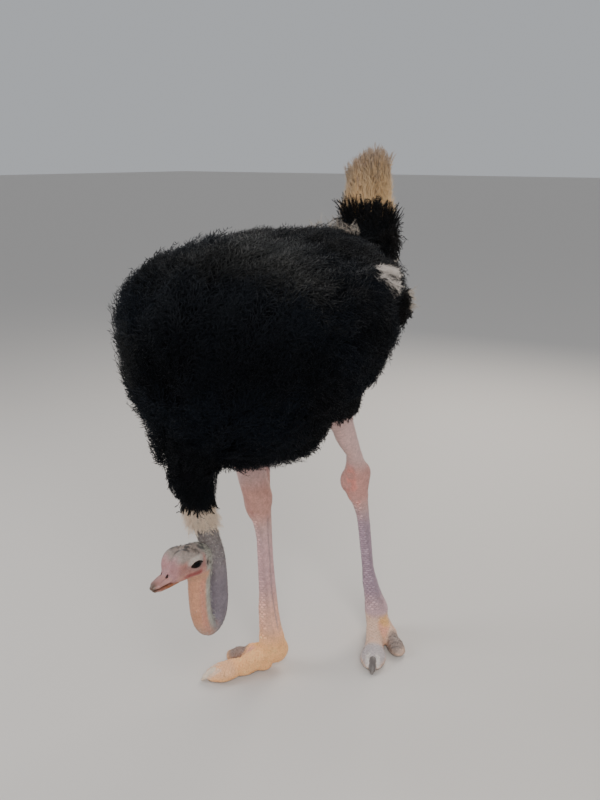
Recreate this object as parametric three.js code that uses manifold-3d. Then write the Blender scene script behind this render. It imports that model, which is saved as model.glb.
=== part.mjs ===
// A male ostrich as a still, life-size model: it stands in mid-stride with its neck let down in front of the
// breast, the neck's last stretch folded back up and the head carried low, turned to the bird's right.
// Millimetres, +Z up, floor at Z 0. The bird faces -Y and its left side is +X. The origin is on the floor,
// under the middle of the whole bird's box. Feathered pieces are modelled out to the tips of their plumes.
import * as THREE from "three";
import { mergeVertices } from "three/addons/utils/BufferGeometryUtils.js";
import Module from "manifold-3d";

const wasm = await Module();
wasm.setup();

// ---- Driving dimensions -------------------------------------------------------------------------------
const JOIN_GAP = 0.35; // air left between pieces that meet
const SIDES = [
  { name: "left", out: 1 },
  { name: "right", out: -1 },
];
const BLACK = 0x0b0b0d;
const DUSTY_WHITE = 0xb3a491;
const SKIN_PINK = 0xd2a79d;
const NECK_GREY = 0x9b918e;
const HORN = 0x8d8078;
const CREAM = 0xcfc4b0;
const EYE_BROWN = 0x1d1411;

// Trunk with its plumage: a full barrel, level along the back, whose belly rises towards the tail.
const TRUNK = {
  middle: -65, // where it is fullest, in Y
  front: 510, // from there to the breast
  rear: 465, // and to the rump
  halfWidth: 298,
  endHeight: 1190, // height of its foremost and hindmost points
  backRise: 213, // from there to the back
  bellyDrop: 445, // and to the belly
  waistDrop: 80, // and to the level where it is widest
  corner: 0.9, // under 1, it fills out the corners of each ring
};

// How each line of the trunk closes towards its ends: the power of a superellipse, 1 being a straight cone.
const TRUNK_CLOSING = {
  front: { back: 2.8, belly: 2.4, width: 2.2 },
  rear: { back: 2.8, belly: 1.15, width: 1.9 },
  waist: 2,
};

// ---- Making closed solids -----------------------------------------------------------------------------
const vec = (p) => new THREE.Vector3(...p);
const rounded = (x, power) => Math.sign(x) * Math.abs(x) ** power;

// A table of [share, value, value...] rows, read with an even slope between its rows.
function profile(rows, share) {
  const next = THREE.MathUtils.clamp(
    rows.findIndex((row) => row[0] >= share),
    1,
    rows.length - 1,
  );
  const [a, b] = [rows[next - 1], rows[next]];
  const part = THREE.MathUtils.smoothstep(share, a[0], b[0]);
  return a.slice(1).map((v, i) => v + (b[i + 1] - v) * part);
}

// A Manifold of rings of points, drawn together at a pole beyond each end.
function ringSolid(rings, firstPole, lastPole) {
  const sides = rings[0].length;
  const points = [firstPole, ...rings.flat(), lastPole];
  const last = points.length - 1;
  const faces = [];
  for (let side = 0; side < sides; side++) {
    const next = (side + 1) % sides;
    faces.push(0, 1 + next, 1 + side);
    faces.push(last, last - sides + side, last - sides + next);
    for (let ring = 0; ring + 1 < rings.length; ring++) {
      const low = 1 + ring * sides;
      const high = low + sides;
      faces.push(low + side, low + next, high + next);
      faces.push(low + side, high + next, high + side);
    }
  }
  const build = (triVerts) =>
    new wasm.Manifold(
      new wasm.Mesh({
        numProp: 3,
        vertProperties: Float32Array.from(points.flatMap((p) => p.toArray())),
        triVerts: Uint32Array.from(triVerts),
      }),
    );
  const made = build(faces);
  return made.volume() > 0 ? made : build(faces.reverse());
}

// A limb, neck or mass of plumes: rings set square to a smooth spine. The rows of `sizes` hold [share of the
// length, half width, half depth]. Width runs along `across`; squareness over 2 fills out the corners.
function limb({ spine, across, sizes, steps, sides, squareness = 2, blunt = 0.4, grow = 0 }) {
  const curve = new THREE.CatmullRomCurve3(spine.map(vec), false, "centripetal");
  const power = 2 / squareness;
  const ringAt = (share) => {
    const along = curve.getTangentAt(share);
    const side = vec(across).addScaledVector(along, -vec(across).dot(along)).normalize();
    const rise = new THREE.Vector3().crossVectors(along, side);
    const [width, depth] = profile(sizes, share).map((v) => v + grow);
    return Array.from({ length: sides }, (_, i) => {
      const angle = (i / sides) * 2 * Math.PI;
      return curve
        .getPointAt(share)
        .addScaledVector(side, width * rounded(Math.cos(angle), power))
        .addScaledVector(rise, depth * rounded(Math.sin(angle), power));
    });
  };
  const rings = Array.from({ length: steps + 1 }, (_, step) => ringAt(step / steps));
  const pole = (share, way) => {
    const reach = profile(sizes, share)[1] * blunt + grow;
    return curve.getPointAt(share).addScaledVector(curve.getTangentAt(share), way * reach);
  };
  return ringSolid(rings, pole(0, -1), pole(1, 1));
}

// An egg: an ellipsoid with half sizes along X, Y, Z, turned by Euler angles.
function egg({ centre, half, turn = [0, 0, 0], sides = 16, rows = 10, grow = 0 }) {
  const place = new THREE.Matrix4().compose(
    vec(centre),
    new THREE.Quaternion().setFromEuler(new THREE.Euler(...turn)),
    vec(half.map((h) => h + grow)),
  );
  const at = (tilt, angle) =>
    new THREE.Vector3().setFromSphericalCoords(1, tilt, angle).applyMatrix4(place);
  const rings = Array.from({ length: rows - 1 }, (_, row) =>
    Array.from({ length: sides }, (_, i) =>
      at(((row + 1) / rows) * Math.PI, (i / sides) * 2 * Math.PI),
    ),
  );
  return ringSolid(rings, at(0, 0), at(Math.PI, 0));
}

// What is left of a body once others are taken from it, without slivers.
function cut(body, ...others) {
  const left = others.reduce((rest, other) => rest.subtract(other), body);
  return left.decompose().sort((a, b) => b.volume() - a.volume())[0];
}

const moved = (body, matrix) => body.transform(matrix.toArray());

function mesh(name, body, color, roughness = 0.8) {
  const { vertProperties, triVerts } = body.getMesh();
  const geometry = new THREE.BufferGeometry();
  geometry.setAttribute("position", new THREE.BufferAttribute(vertProperties, 3));
  geometry.setIndex(new THREE.BufferAttribute(triVerts, 1));
  geometry.computeVertexNormals();
  const material = new THREE.MeshStandardMaterial({ color, roughness, metalness: 0 });
  const made = new THREE.Mesh(geometry, material);
  made.name = name;
  return made;
}

const bird = new THREE.Group();

// ---- Trunk --------------------------------------------------------------------------------------------
// Rings across the barrel, close together at its two ends, each with its back, belly and widest level.
function trunkSolid(grow = 0) {
  const steps = 20;
  const sides = 28;
  const full = (s, power) => Math.max(1 - Math.abs(s) ** power, 0) ** (1 / power);
  const along = (s) => TRUNK.middle + ((s < 0 ? TRUNK.front : TRUNK.rear) + grow) * s;
  const ringAt = (s) => {
    const closing = s < 0 ? TRUNK_CLOSING.front : TRUNK_CLOSING.rear;
    const level = TRUNK.endHeight - TRUNK.waistDrop * full(s, TRUNK_CLOSING.waist);
    const back = TRUNK.endHeight + TRUNK.backRise * full(s, closing.back) + grow;
    const belly = TRUNK.endHeight - TRUNK.bellyDrop * full(s, closing.belly) - grow;
    const halfWidth = TRUNK.halfWidth * full(s, closing.width) + grow;
    return Array.from({ length: sides }, (_, i) => {
      const angle = (i / sides) * 2 * Math.PI;
      const reach = Math.sin(angle) > 0 ? back - level : level - belly;
      return new THREE.Vector3(
        halfWidth * rounded(Math.cos(angle), TRUNK.corner),
        along(s),
        level + reach * rounded(Math.sin(angle), TRUNK.corner),
      );
    });
  };
  const rings = [];
  for (let step = 1; step < steps; step++) rings.push(ringAt(-Math.cos((step / steps) * Math.PI)));
  const pole = (way) => new THREE.Vector3(0, along(way), TRUNK.endHeight);
  return ringSolid(rings, pole(-1), pole(1));
}

// ---- Neck ---------------------------------------------------------------------------------------------
const NECK = {
  root: [
    [0, -300, 1010],
    [-8, -388, 900],
    [-6, -416, 790],
    [5, -411, 690],
  ],
  collar: [
    [5, -411, 705],
    [14, -409, 668],
    [28, -405, 628],
  ],
  bare: [
    [6, -410, 700],
    [28, -405, 628],
    [45, -394, 560],
    [50, -385, 480],
    [51, -389, 410],
    [51, -405, 374],
    [51, -430, 360],
    [51, -455, 378],
    [51, -470, 420],
    [51, -477, 480],
    [50, -468, 548],
  ],
};

const neckBase = (grow = 0) =>
  limb({
    spine: NECK.root,
    across: [1, 0, 0],
    sizes: [
      [0, 155, 150],
      [0.45, 106, 108],
      [0.75, 60, 64],
      [1, 38, 40],
    ],
    steps: 9,
    sides: 16,
    grow,
  });

const neckCollar = (grow = 0) =>
  limb({
    spine: NECK.collar,
    across: [1, 0, 0],
    sizes: [
      [0, 40, 42],
      [0.35, 42, 44],
      [1, 32, 32],
    ],
    steps: 4,
    sides: 14,
    grow,
  });

const neckBare = (grow = 0) =>
  limb({
    spine: NECK.bare,
    across: [1, 0, 0],
    sizes: [
      [0, 33, 33],
      [0.2, 30, 30],
      [0.45, 25, 25],
      [0.85, 25, 25],
      [1, 29, 30],
    ],
    steps: 26,
    sides: 12,
    grow,
  });

// ---- Head ---------------------------------------------------------------------------------------------
// Its own frame has the eyes' midpoint at the origin, the bill towards -Y and the crown towards +Z.
const HEAD = { eyes: [49, -503, 593], turn: -2, dip: -1, tilt: -3 };
const EYE = { half: [15, 20, 17], apart: 60, forward: 2 }; // half sizes along X, Y, Z

const headPlace = new THREE.Group();
headPlace.name = "head_place";
headPlace.position.set(...HEAD.eyes);
headPlace.rotation.set(...[HEAD.dip, HEAD.tilt, HEAD.turn].map(THREE.MathUtils.degToRad), "ZXY");
headPlace.updateMatrix();

const skull = (grow = 0) =>
  limb({
    spine: [
      [0, 50, -8],
      [0, 28, -4],
      [0, 0, -3],
      [0, -34, -8],
      [0, -82, -22],
    ],
    across: [1, 0, 0],
    sizes: [
      [0, 22, 25],
      [0.18, 34, 38],
      [0.4, 42, 43],
      [0.68, 34, 34],
      [1, 22, 14],
    ],
    steps: 11,
    sides: 16,
    grow,
  });

const eyeball = (out, grow = 0) =>
  egg({
    centre: [(out * EYE.apart) / 2, -EYE.forward, 0],
    half: EYE.half,
    sides: 12,
    rows: 7,
    grow,
  });

// Broad, flat and blunt, its upper half a little longer and turned down at the tip.
const billHalf = ({ spine, sizes }, grow = 0) =>
  limb({ spine, across: [1, 0, 0], sizes, steps: 6, sides: 12, blunt: 0.7, grow });

const BILL = {
  upper: {
    spine: [
      [0, -48, -15],
      [0, -80, -21],
      [0, -108, -25.5],
      [0, -124, -31],
    ],
    sizes: [
      [0, 22, 13],
      [0.45, 22, 11],
      [0.8, 18, 8],
      [1, 9, 5],
    ],
  },
  lower: {
    spine: [
      [0, -48, -38],
      [0, -80, -38.5],
      [0, -104, -39.5],
      [0, -119, -40.5],
    ],
    sizes: [
      [0, 19, 5],
      [0.45, 19, 5],
      [0.8, 16, 4.5],
      [1, 9, 3],
    ],
  },
};

// ---- Tail ---------------------------------------------------------------------------------------------
const tailCoverts = (grow = 0) =>
  egg({ centre: [0, 400, 1318], half: [116, 106, 146], turn: [-0.15, 0, 0], sides: 16, rows: 9, grow });

const tailPlumes = (grow = 0) =>
  limb({
    spine: [
      [0, 395, 1345],
      [2, 420, 1450],
      [10, 444, 1580],
    ],
    across: [1, 0, 0],
    sizes: [
      [0, 85, 62],
      [0.3, 98, 70],
      [0.8, 88, 62],
      [1, 50, 40],
    ],
    steps: 8,
    sides: 14,
    grow,
  });

// ---- Wings --------------------------------------------------------------------------------------------
const wingSolid = (out, grow = 0) =>
  limb({
    spine: [
      [out * 200, -460, 1190],
      [out * 280, -280, 1180],
      [out * 297, -30, 1180],
      [out * 243, 180, 1205],
      [out * 155, 300, 1240],
    ],
    across: [0, 0, 1],
    sizes: [
      [0, 75, 26],
      [0.2, 140, 33],
      [0.6, 140, 36],
      [0.85, 98, 32],
      [1, 50, 26],
    ],
    steps: 11,
    sides: 12,
    grow,
  });

const wingPlumes = (out, grow = 0) =>
  limb({
    spine: [
      [out * 235, 235, 1225],
      [out * 185, 315, 1260],
      [out * 122, 385, 1350],
    ],
    across: [0, 0, 1],
    sizes: [
      [0, 50, 22],
      [0.5, 72, 28],
      [1, 40, 18],
    ],
    steps: 7,
    sides: 10,
    grow,
  });

// ---- Legs ---------------------------------------------------------------------------------------------
const LEGS = {
  left: { knee: [165, -30, 1000], hock: [80, 245, 573], toeJoint: [155, 282, 104], toesOut: 29 },
  right: { knee: [-120, -120, 1000], hock: [-114, -22, 555], toeJoint: [-17, -80, 106], toesOut: 34 },
};

const drumstick = ({ knee, hock }, grow = 0) =>
  limb({
    spine: [knee, vec(knee).lerp(vec(hock), 0.5).toArray(), hock],
    across: [1, 0, 0],
    sizes: [
      [0, 80, 105],
      [0.45, 52, 72],
      [0.78, 31, 44],
      [1, 42, 48],
    ],
    steps: 10,
    sides: 14,
    grow,
  });

const shank = ({ hock, toeJoint }, grow = 0) =>
  limb({
    spine: [hock, vec(hock).lerp(vec(toeJoint), 0.5).toArray(), toeJoint],
    across: [1, 0, 0],
    sizes: [
      [0, 46, 49],
      [0.1, 40, 44],
      [0.22, 24, 29],
      [0.7, 21, 28],
      [0.9, 32, 37],
      [1, 37, 38],
    ],
    steps: 14,
    sides: 12,
    grow,
  });

// The foot's own frame stands on the floor under the toe joint, with the main toe towards -Y.
const mainToe = (grow = 0) =>
  limb({
    spine: [
      [0, 20, 64],
      [0, -25, 54],
      [0, -75, 30],
      [0, -132, 22],
      [0, -202, 16],
    ],
    across: [1, 0, 0],
    sizes: [
      [0, 33, 35],
      [0.25, 32, 38],
      [0.55, 29, 29],
      [0.86, 41, 26],
      [1, 26, 15],
    ],
    steps: 12,
    sides: 12,
    squareness: 2.3,
    grow,
  });

const outerToe = (out, grow = 0) =>
  limb({
    spine: [
      [out * 16, 8, 62],
      [out * 40, -32, 44],
      [out * 64, -78, 22],
      [out * 84, -116, 17],
    ],
    across: [1, 0, 0],
    sizes: [
      [0, 26, 30],
      [0.5, 24, 26],
      [0.86, 26, 21],
      [1, 17, 13],
    ],
    steps: 9,
    sides: 10,
    grow,
  });

const claw = (grow = 0) =>
  limb({
    spine: [
      [0, -188, 28],
      [0, -212, 22],
      [0, -238, 6],
    ],
    across: [1, 0, 0],
    sizes: [
      [0, 13, 11],
      [0.5, 10.5, 9],
      [1, 3, 3],
    ],
    steps: 5,
    sides: 8,
    grow,
  });

// The floor's slab, to cut the soles level where they bear.
function floorSlab() {
  const [breadth, depth] = [2000, 200];
  const box = new THREE.BoxGeometry(breadth, breadth, depth).translate(0, 0, -depth / 2);
  box.deleteAttribute("normal");
  box.deleteAttribute("uv");
  const merged = mergeVertices(box);
  return new wasm.Manifold(
    new wasm.Mesh({
      numProp: 3,
      vertProperties: Float32Array.from(merged.attributes.position.array),
      triVerts: Uint32Array.from(merged.index.array),
    }),
  );
}

// ---- The whole bird -----------------------------------------------------------------------------------
const trunkRoom = trunkSolid(JOIN_GAP);
const covertsRoom = tailCoverts(JOIN_GAP);
bird.add(mesh("trunk", trunkSolid(), BLACK));
bird.add(mesh("tail_coverts", cut(tailCoverts(), trunkRoom), BLACK));
bird.add(mesh("tail", cut(tailPlumes(), covertsRoom, trunkRoom), DUSTY_WHITE));
bird.add(mesh("neck_base", cut(neckBase(), trunkRoom), BLACK));
bird.add(mesh("neck_collar", cut(neckCollar(), neckBase(JOIN_GAP)), CREAM));

const billUpperRoom = billHalf(BILL.upper, JOIN_GAP);
const billLower = cut(billHalf(BILL.lower), billUpperRoom);
const headBody = cut(
  skull(),
  eyeball(1, JOIN_GAP),
  eyeball(-1, JOIN_GAP),
  billUpperRoom,
  billHalf(BILL.lower, JOIN_GAP),
);
const skullRoom = moved(skull(JOIN_GAP), headPlace.matrix);
bird.add(mesh("neck", cut(neckBare(), neckBase(JOIN_GAP), neckCollar(JOIN_GAP), skullRoom), NECK_GREY));
headPlace.add(mesh("head", headBody, SKIN_PINK));
headPlace.add(mesh("bill_upper", billHalf(BILL.upper), HORN, 0.5));
headPlace.add(mesh("bill_lower", billLower, HORN, 0.5));
for (const { name, out } of SIDES) headPlace.add(mesh(`eye_${name}`, eyeball(out), EYE_BROWN, 0.15));
bird.add(headPlace);

for (const { name, out } of SIDES) {
  const wing = wingSolid(out);
  bird.add(mesh(`wing_${name}`, cut(wing, trunkRoom, covertsRoom), BLACK));
  const plumes = cut(wingPlumes(out), wingSolid(out, JOIN_GAP), trunkRoom, covertsRoom, tailPlumes(JOIN_GAP));
  bird.add(mesh(`wing_plumes_${name}`, plumes, DUSTY_WHITE));

  const leg = LEGS[name];
  const thigh = cut(drumstick(leg), trunkRoom, shank(leg, JOIN_GAP), wingSolid(out, JOIN_GAP));
  bird.add(mesh(`drumstick_${name}`, thigh, SKIN_PINK));
  bird.add(mesh(`shank_${name}`, shank(leg), SKIN_PINK));

  const foot = new THREE.Group();
  foot.name = `foot_${name}_place`;
  foot.position.set(leg.toeJoint[0], leg.toeJoint[1], 0);
  foot.rotation.z = THREE.MathUtils.degToRad(out * leg.toesOut);
  foot.updateMatrix();
  const shankRoom = moved(shank(leg, JOIN_GAP), foot.matrix.clone().invert());
  const floor = floorSlab();
  const middle = cut(mainToe(), shankRoom, claw(JOIN_GAP), floor);
  foot.add(mesh(`toe_main_${name}`, middle, SKIN_PINK));
  foot.add(mesh(`toe_outer_${name}`, cut(outerToe(out), shankRoom, mainToe(JOIN_GAP), floor), SKIN_PINK));
  foot.add(mesh(`claw_${name}`, cut(claw(), floor), HORN, 0.5));
  bird.add(foot);
}

// The bird's whole box is centred over the origin and stands on the floor.
const box = new THREE.Box3().setFromObject(bird);
bird.position.set(-(box.min.x + box.max.x) / 2, -(box.min.y + box.max.y) / 2, -box.min.z);

export default bird;
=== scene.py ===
"""A male ostrich as a still, life-size model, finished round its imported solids. Metres, +Z up.

The bird faces -Y and its left side is +X. Places are given as they are on the bird, and `spot` puts them in
the frame.
"""
import math

import bmesh
import bpy
import numpy as np
from mathutils import Euler, Matrix, Vector, noise
from mathutils.bvhtree import BVHTree
from mathutils.kdtree import KDTree


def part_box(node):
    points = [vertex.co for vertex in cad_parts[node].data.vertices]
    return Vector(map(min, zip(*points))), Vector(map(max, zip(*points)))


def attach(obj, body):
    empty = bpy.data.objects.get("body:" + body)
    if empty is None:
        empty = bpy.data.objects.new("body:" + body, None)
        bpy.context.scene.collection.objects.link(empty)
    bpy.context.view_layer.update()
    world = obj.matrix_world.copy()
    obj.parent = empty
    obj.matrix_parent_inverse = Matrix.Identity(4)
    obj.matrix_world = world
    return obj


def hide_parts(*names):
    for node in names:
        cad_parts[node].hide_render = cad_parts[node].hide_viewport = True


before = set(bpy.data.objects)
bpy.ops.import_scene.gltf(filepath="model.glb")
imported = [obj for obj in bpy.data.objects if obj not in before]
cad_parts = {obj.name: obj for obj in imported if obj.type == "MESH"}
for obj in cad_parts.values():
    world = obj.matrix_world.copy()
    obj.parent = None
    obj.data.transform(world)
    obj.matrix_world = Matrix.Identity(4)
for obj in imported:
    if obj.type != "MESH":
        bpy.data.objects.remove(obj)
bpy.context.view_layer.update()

# ---- Camera, floor and light --------------------------------------------------------------------------
# A visitor stands ahead of the bird on its left, eyes at 1.6 m, and looks down at it. The room is a pale
# floor under two large soft lamps, with a third behind the bird that draws the edge of its plumage.
BREAST_TO_ORIGIN = 0.575
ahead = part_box("trunk")[0].y + BREAST_TO_ORIGIN


def spot(*places):
    """Places measured on the bird, in metres, as points of the frame."""
    return np.array(places, float).reshape(-1, 3) + (0, ahead, 0)


def shown(name, data):
    """A new object in the scene."""
    made = bpy.data.objects.new(name, data)
    bpy.context.scene.collection.objects.link(made)
    return made


camera = shown("camera", bpy.data.cameras.new("camera"))
camera.data.lens = 36
camera.data.sensor_width = 36
camera.location = spot((1.408, -1.819, 1.6))[0]
camera.rotation_euler = (math.radians(90 - 17.03), 0, math.radians(37))
bpy.context.scene.camera = camera


def paint(name, colour, roughness, **sockets):
    """A new material with one Principled shader, and that shader."""
    material = bpy.data.materials.new(name)
    material.use_nodes = True
    shader = material.node_tree.nodes["Principled BSDF"]
    shader.inputs["Base Color"].default_value = (*colour, 1)
    shader.inputs["Roughness"].default_value = roughness
    for socket, value in sockets.items():
        shader.inputs[socket.replace("_", " ")].default_value = value
    return material, shader


def tinted(name, roughness, **sockets):
    """A material coloured by the piece's own attribute "tint"."""
    material, shader = paint(name, (0.5, 0.5, 0.5), roughness, **sockets)
    attribute = material.node_tree.nodes.new("ShaderNodeAttribute")
    attribute.attribute_name = "tint"
    material.node_tree.links.new(attribute.outputs["Color"], shader.inputs["Base Color"])
    return material


HALF_FLOOR = 60.0
floor = shown("floor", bpy.data.meshes.new("floor"))
floor_corners = [(x * HALF_FLOOR, y * HALF_FLOOR, 0) for x, y in ((-1, -1), (1, -1), (1, 1), (-1, 1))]
floor.data.from_pydata(floor_corners, [], [(0, 1, 2, 3)])
floor.data.materials.append(paint("pale_floor", (0.62, 0.59, 0.56), 0.75)[0])
BODY_MIDDLE = (0, 0, 0.9)


def lamp(name, place, side, watts, colour):
    light = bpy.data.lights.new(name, "AREA")
    light.shape = "DISK"
    light.size = side
    light.energy = watts
    light.color = colour
    holder = shown(name, light)
    holder.location = place
    holder.rotation_euler = (Vector(BODY_MIDDLE) - Vector(place)).to_track_quat("-Z", "Y").to_euler()


lamp("lamp_front", (2.6, -2.6, 3.2), 2.4, 135, (1, 0.985, 0.96))
lamp("lamp_side", (-2.8, -1.9, 2.4), 2.2, 55, (0.95, 0.97, 1))
lamp("lamp_behind", (-0.6, 3.4, 3.0), 2.6, 100, (1, 0.93, 0.84))
room = bpy.data.worlds.new("room")
room.use_nodes = True
room.node_tree.nodes["Background"].inputs["Color"].default_value = (0.80, 0.83, 0.87, 1)
room.node_tree.nodes["Background"].inputs["Strength"].default_value = 0.55
bpy.context.scene.world = room

# ---- Skin ---------------------------------------------------------------------------------------------
# One bare hide covers head, neck, body, legs and toes. It is pressed up as clay on grids, a block for each
# stretch of the bird, and the blocks are joined where plumes hide the join. Under the plumage it lies as deep
# as the plumes are thick, and on the bare neck, head and legs it comes out to the solids.
NOTHING_NEAR = 1.0  # metres, told of a crossing that no lump is near
MARGIN = 0.012  # metres round a lump in which its distance is worked out


def marks(start, *stretches):
    """Grid lines from `start`, each stretch given as where it ends and the step between its lines."""
    lines = [start]
    for end, step in stretches:
        count = max(1, round((end - lines[-1]) / step))
        lines.extend(np.linspace(lines[-1], end, count + 1)[1:])
    return np.array(lines, np.float32)


def melt(first, second, fillet):
    """The nearer of two distances, with a fillet where they are about the same."""
    if fillet <= 0:
        return np.minimum(first, second)
    overlap = np.maximum(fillet - np.abs(first - second), 0) / fillet
    return np.minimum(first, second) - overlap * overlap * fillet / 4


class Clay:
    """A block of clay: grid lines along X, Y and Z, and how far each crossing is outside the surface."""

    def __init__(self, *lines):
        self.lines = lines
        self.far = np.full([len(line) for line in lines], NOTHING_NEAR, np.float32)

    def window(self, low, high):
        cut = tuple(
            slice(max(np.searchsorted(line, a) - 1, 0), np.searchsorted(line, b) + 1)
            for line, a, b in zip(self.lines, low, high)
        )
        crossings = np.meshgrid(*[line[part] for line, part in zip(self.lines, cut)], indexing="ij")
        return cut, np.stack(crossings, -1)

    def lump(self, shapes, margin):
        """The distance to a lump made of several shapes, known as far as `margin` round them."""
        far = np.full_like(self.far, NOTHING_NEAR)
        for distance, low, high in shapes:
            cut, points = self.window(low - margin, high + margin)
            far[cut] = np.minimum(far[cut], distance(points))
        return far

    def press(self, shapes, fillet=0.0):
        """Adds a lump."""
        self.far = melt(self.far, self.lump(shapes, MARGIN + fillet), fillet)

    def carve(self, shapes, fillet=0.0):
        """Takes a lump away."""
        self.far = -melt(-self.far, self.lump(shapes, MARGIN + fillet), fillet)

    def skin(self):
        """The surface: a point in each cell it crosses, and a face round each grid edge it crosses."""
        cells = np.array(self.far.shape) - 1
        inside = self.far < 0
        owners, crossings, quads = [], [], []
        for axis in range(3):
            others = ((axis + 1) % 3, (axis + 2) % 3)
            near = [slice(None)] * 3
            away = [slice(None)] * 3
            near[axis] = slice(None, -1)
            away[axis] = slice(1, None)
            near, away = tuple(near), tuple(away)
            edges = np.argwhere(inside[near] != inside[away])
            first = self.far[near][tuple(edges.T)]
            second = self.far[away][tuple(edges.T)]
            crossing = edges.astype(float)
            crossing[:, axis] += first / (first - second)
            ring = []
            for step_a, step_b in ((0, 0), (-1, 0), (-1, -1), (0, -1)):
                cell = edges.copy()
                cell[:, others[0]] += step_a
                cell[:, others[1]] += step_b
                ring.append(np.ravel_multi_index(cell.T, cells))
            ring = np.stack(ring, 1)
            owners.append(ring.T.ravel())
            crossings.append(np.tile(crossing, (4, 1)))
            quads.append(np.where((first < 0)[:, None], ring, ring[:, ::-1]))
        used, index = np.unique(np.concatenate(owners), return_inverse=True)
        crossings = np.concatenate(crossings)
        counts = np.bincount(index)
        points = np.stack([np.bincount(index, crossings[:, a]) / counts for a in range(3)], 1)
        for a, line in enumerate(self.lines):
            points[:, a] = np.interp(points[:, a], np.arange(len(line)), line)
        return points, np.searchsorted(used, np.concatenate(quads))


def egg(centre, half, turn):
    """An egg with half sizes along the columns of `turn`."""
    centre, half = np.array(centre, np.float32), np.array(half, np.float32)
    turn = np.array(turn, np.float32)

    def distance(points):
        at = (points - centre) @ turn
        share = np.linalg.norm(at / half, axis=-1)
        slope = np.linalg.norm(at / half**2, axis=-1)
        return share * (share - 1) / np.maximum(slope, 1e-6)

    reach = np.abs(turn) @ half
    return distance, centre - reach, centre + reach


def stretch(start, end, start_size, end_size, across):
    """A straight stretch of a limb, oval across, tapering from one half width and half depth to the next."""
    start, way = np.array(start, np.float32), np.array(end - start, np.float32)
    start_size, end_size = np.array(start_size, np.float32), np.array(end_size, np.float32)
    length_squared = way @ way
    side = across - (across @ way) / length_squared * way
    side = np.array(side / np.linalg.norm(side), np.float32)

    def distance(points):
        offset = points - start
        share = np.clip(offset @ way / length_squared, 0, 1)[..., None]
        offset = offset - share * way
        size = start_size + (end_size - start_size) * share
        wide = offset @ side
        deep = np.sqrt(np.maximum((offset * offset).sum(-1) - wide * wide, 0))
        out = np.hypot(wide / size[..., 0], deep / size[..., 1])
        slope = np.hypot(wide / size[..., 0] ** 2, deep / size[..., 1] ** 2)
        return out * (out - 1) / np.maximum(slope, 1e-6)

    reach = max(start_size.max(), end_size.max())
    return distance, np.minimum(start, end) - reach, np.maximum(start, end) + reach


def path(places, count):
    """`count` evenly spaced points along a smooth curve through the places."""
    knots = np.array(places, float)
    knots = np.vstack([2 * knots[0] - knots[1], knots, 2 * knots[-1] - knots[-2]])
    gaps = np.linalg.norm(np.diff(knots, axis=0), axis=1) ** 0.5
    share = np.linspace(0, 1, 25)[:, None]
    fine = []
    for i in range(len(knots) - 3):
        a, b, c, d = knots[i : i + 4]
        before, here, after = gaps[i : i + 3]
        leave = ((b - a) / before - (c - a) / (before + here)) * here + (c - b)
        arrive = ((d - c) / after - (d - b) / (here + after)) * here + (c - b)
        square, cube = 3 * (c - b) - 2 * leave - arrive, 2 * (b - c) + leave + arrive
        fine.append(b + leave * share + square * share**2 + cube * share**3)
    fine = np.vstack(fine)
    run = np.concatenate([[0], np.cumsum(np.linalg.norm(np.diff(fine, axis=0), axis=1))])
    wanted = np.linspace(0, run[-1], count)
    return np.stack([np.interp(wanted, run, fine[:, a]) for a in range(3)], 1)


def limb(places, sizes, across=(1, 0, 0), steps=16):
    """The stretches of a limb along a path. `sizes` holds rows of share, half width, half depth."""
    line = path(places, steps + 1)
    rows = np.array(sizes, float)
    shares = np.linspace(0, 1, steps + 1)
    at = np.clip(np.searchsorted(rows[:, 0], shares), 1, len(rows) - 1)
    part = (shares - rows[at - 1, 0]) / (rows[at, 0] - rows[at - 1, 0])
    part = (part * part * (3 - 2 * part))[:, None]
    size = rows[at - 1, 1:] + (rows[at, 1:] - rows[at - 1, 1:]) * part
    across = np.array(across, float)
    return [stretch(line[i], line[i + 1], size[i], size[i + 1], across) for i in range(steps)]


# The body's block. Plumes end where the solids do, so depth is measured inwards from those, and the slits
# between one solid and the next are closed first.
PLUMED = ("trunk", "wing_left", "wing_right", "neck_base", "tail_coverts")
PLUME_DEPTH = 0.034
NECK_PLUME_DEPTH = 0.010
BODY_STEP = 0.0155
CLOSING = 0.030


def tree_of(meshes):
    corners, faces = [], []
    for points, polygons in meshes:
        faces.extend([[index + len(corners) for index in polygon] for polygon in polygons])
        corners.extend(points)
    return BVHTree.FromPolygons(corners, faces)


def solid(name):
    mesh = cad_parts[name].data
    return [tuple(v.co) for v in mesh.vertices], [tuple(p.vertices) for p in mesh.polygons]


def outside_of(solid_near):
    """The crossings joined to the grid's first corner by a way that keeps clear of every solid."""
    reached = np.zeros_like(solid_near)
    reached[0, 0, 0] = True
    while True:
        grown = reached.copy()
        for axis in range(3):
            first = [slice(None)] * 3
            second = [slice(None)] * 3
            first[axis], second[axis] = slice(None, -1), slice(1, None)
            grown[tuple(first)] |= reached[tuple(second)]
            grown[tuple(second)] |= reached[tuple(first)]
        grown &= ~solid_near
        if grown.sum() == reached.sum():
            return reached
        reached = grown


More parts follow.
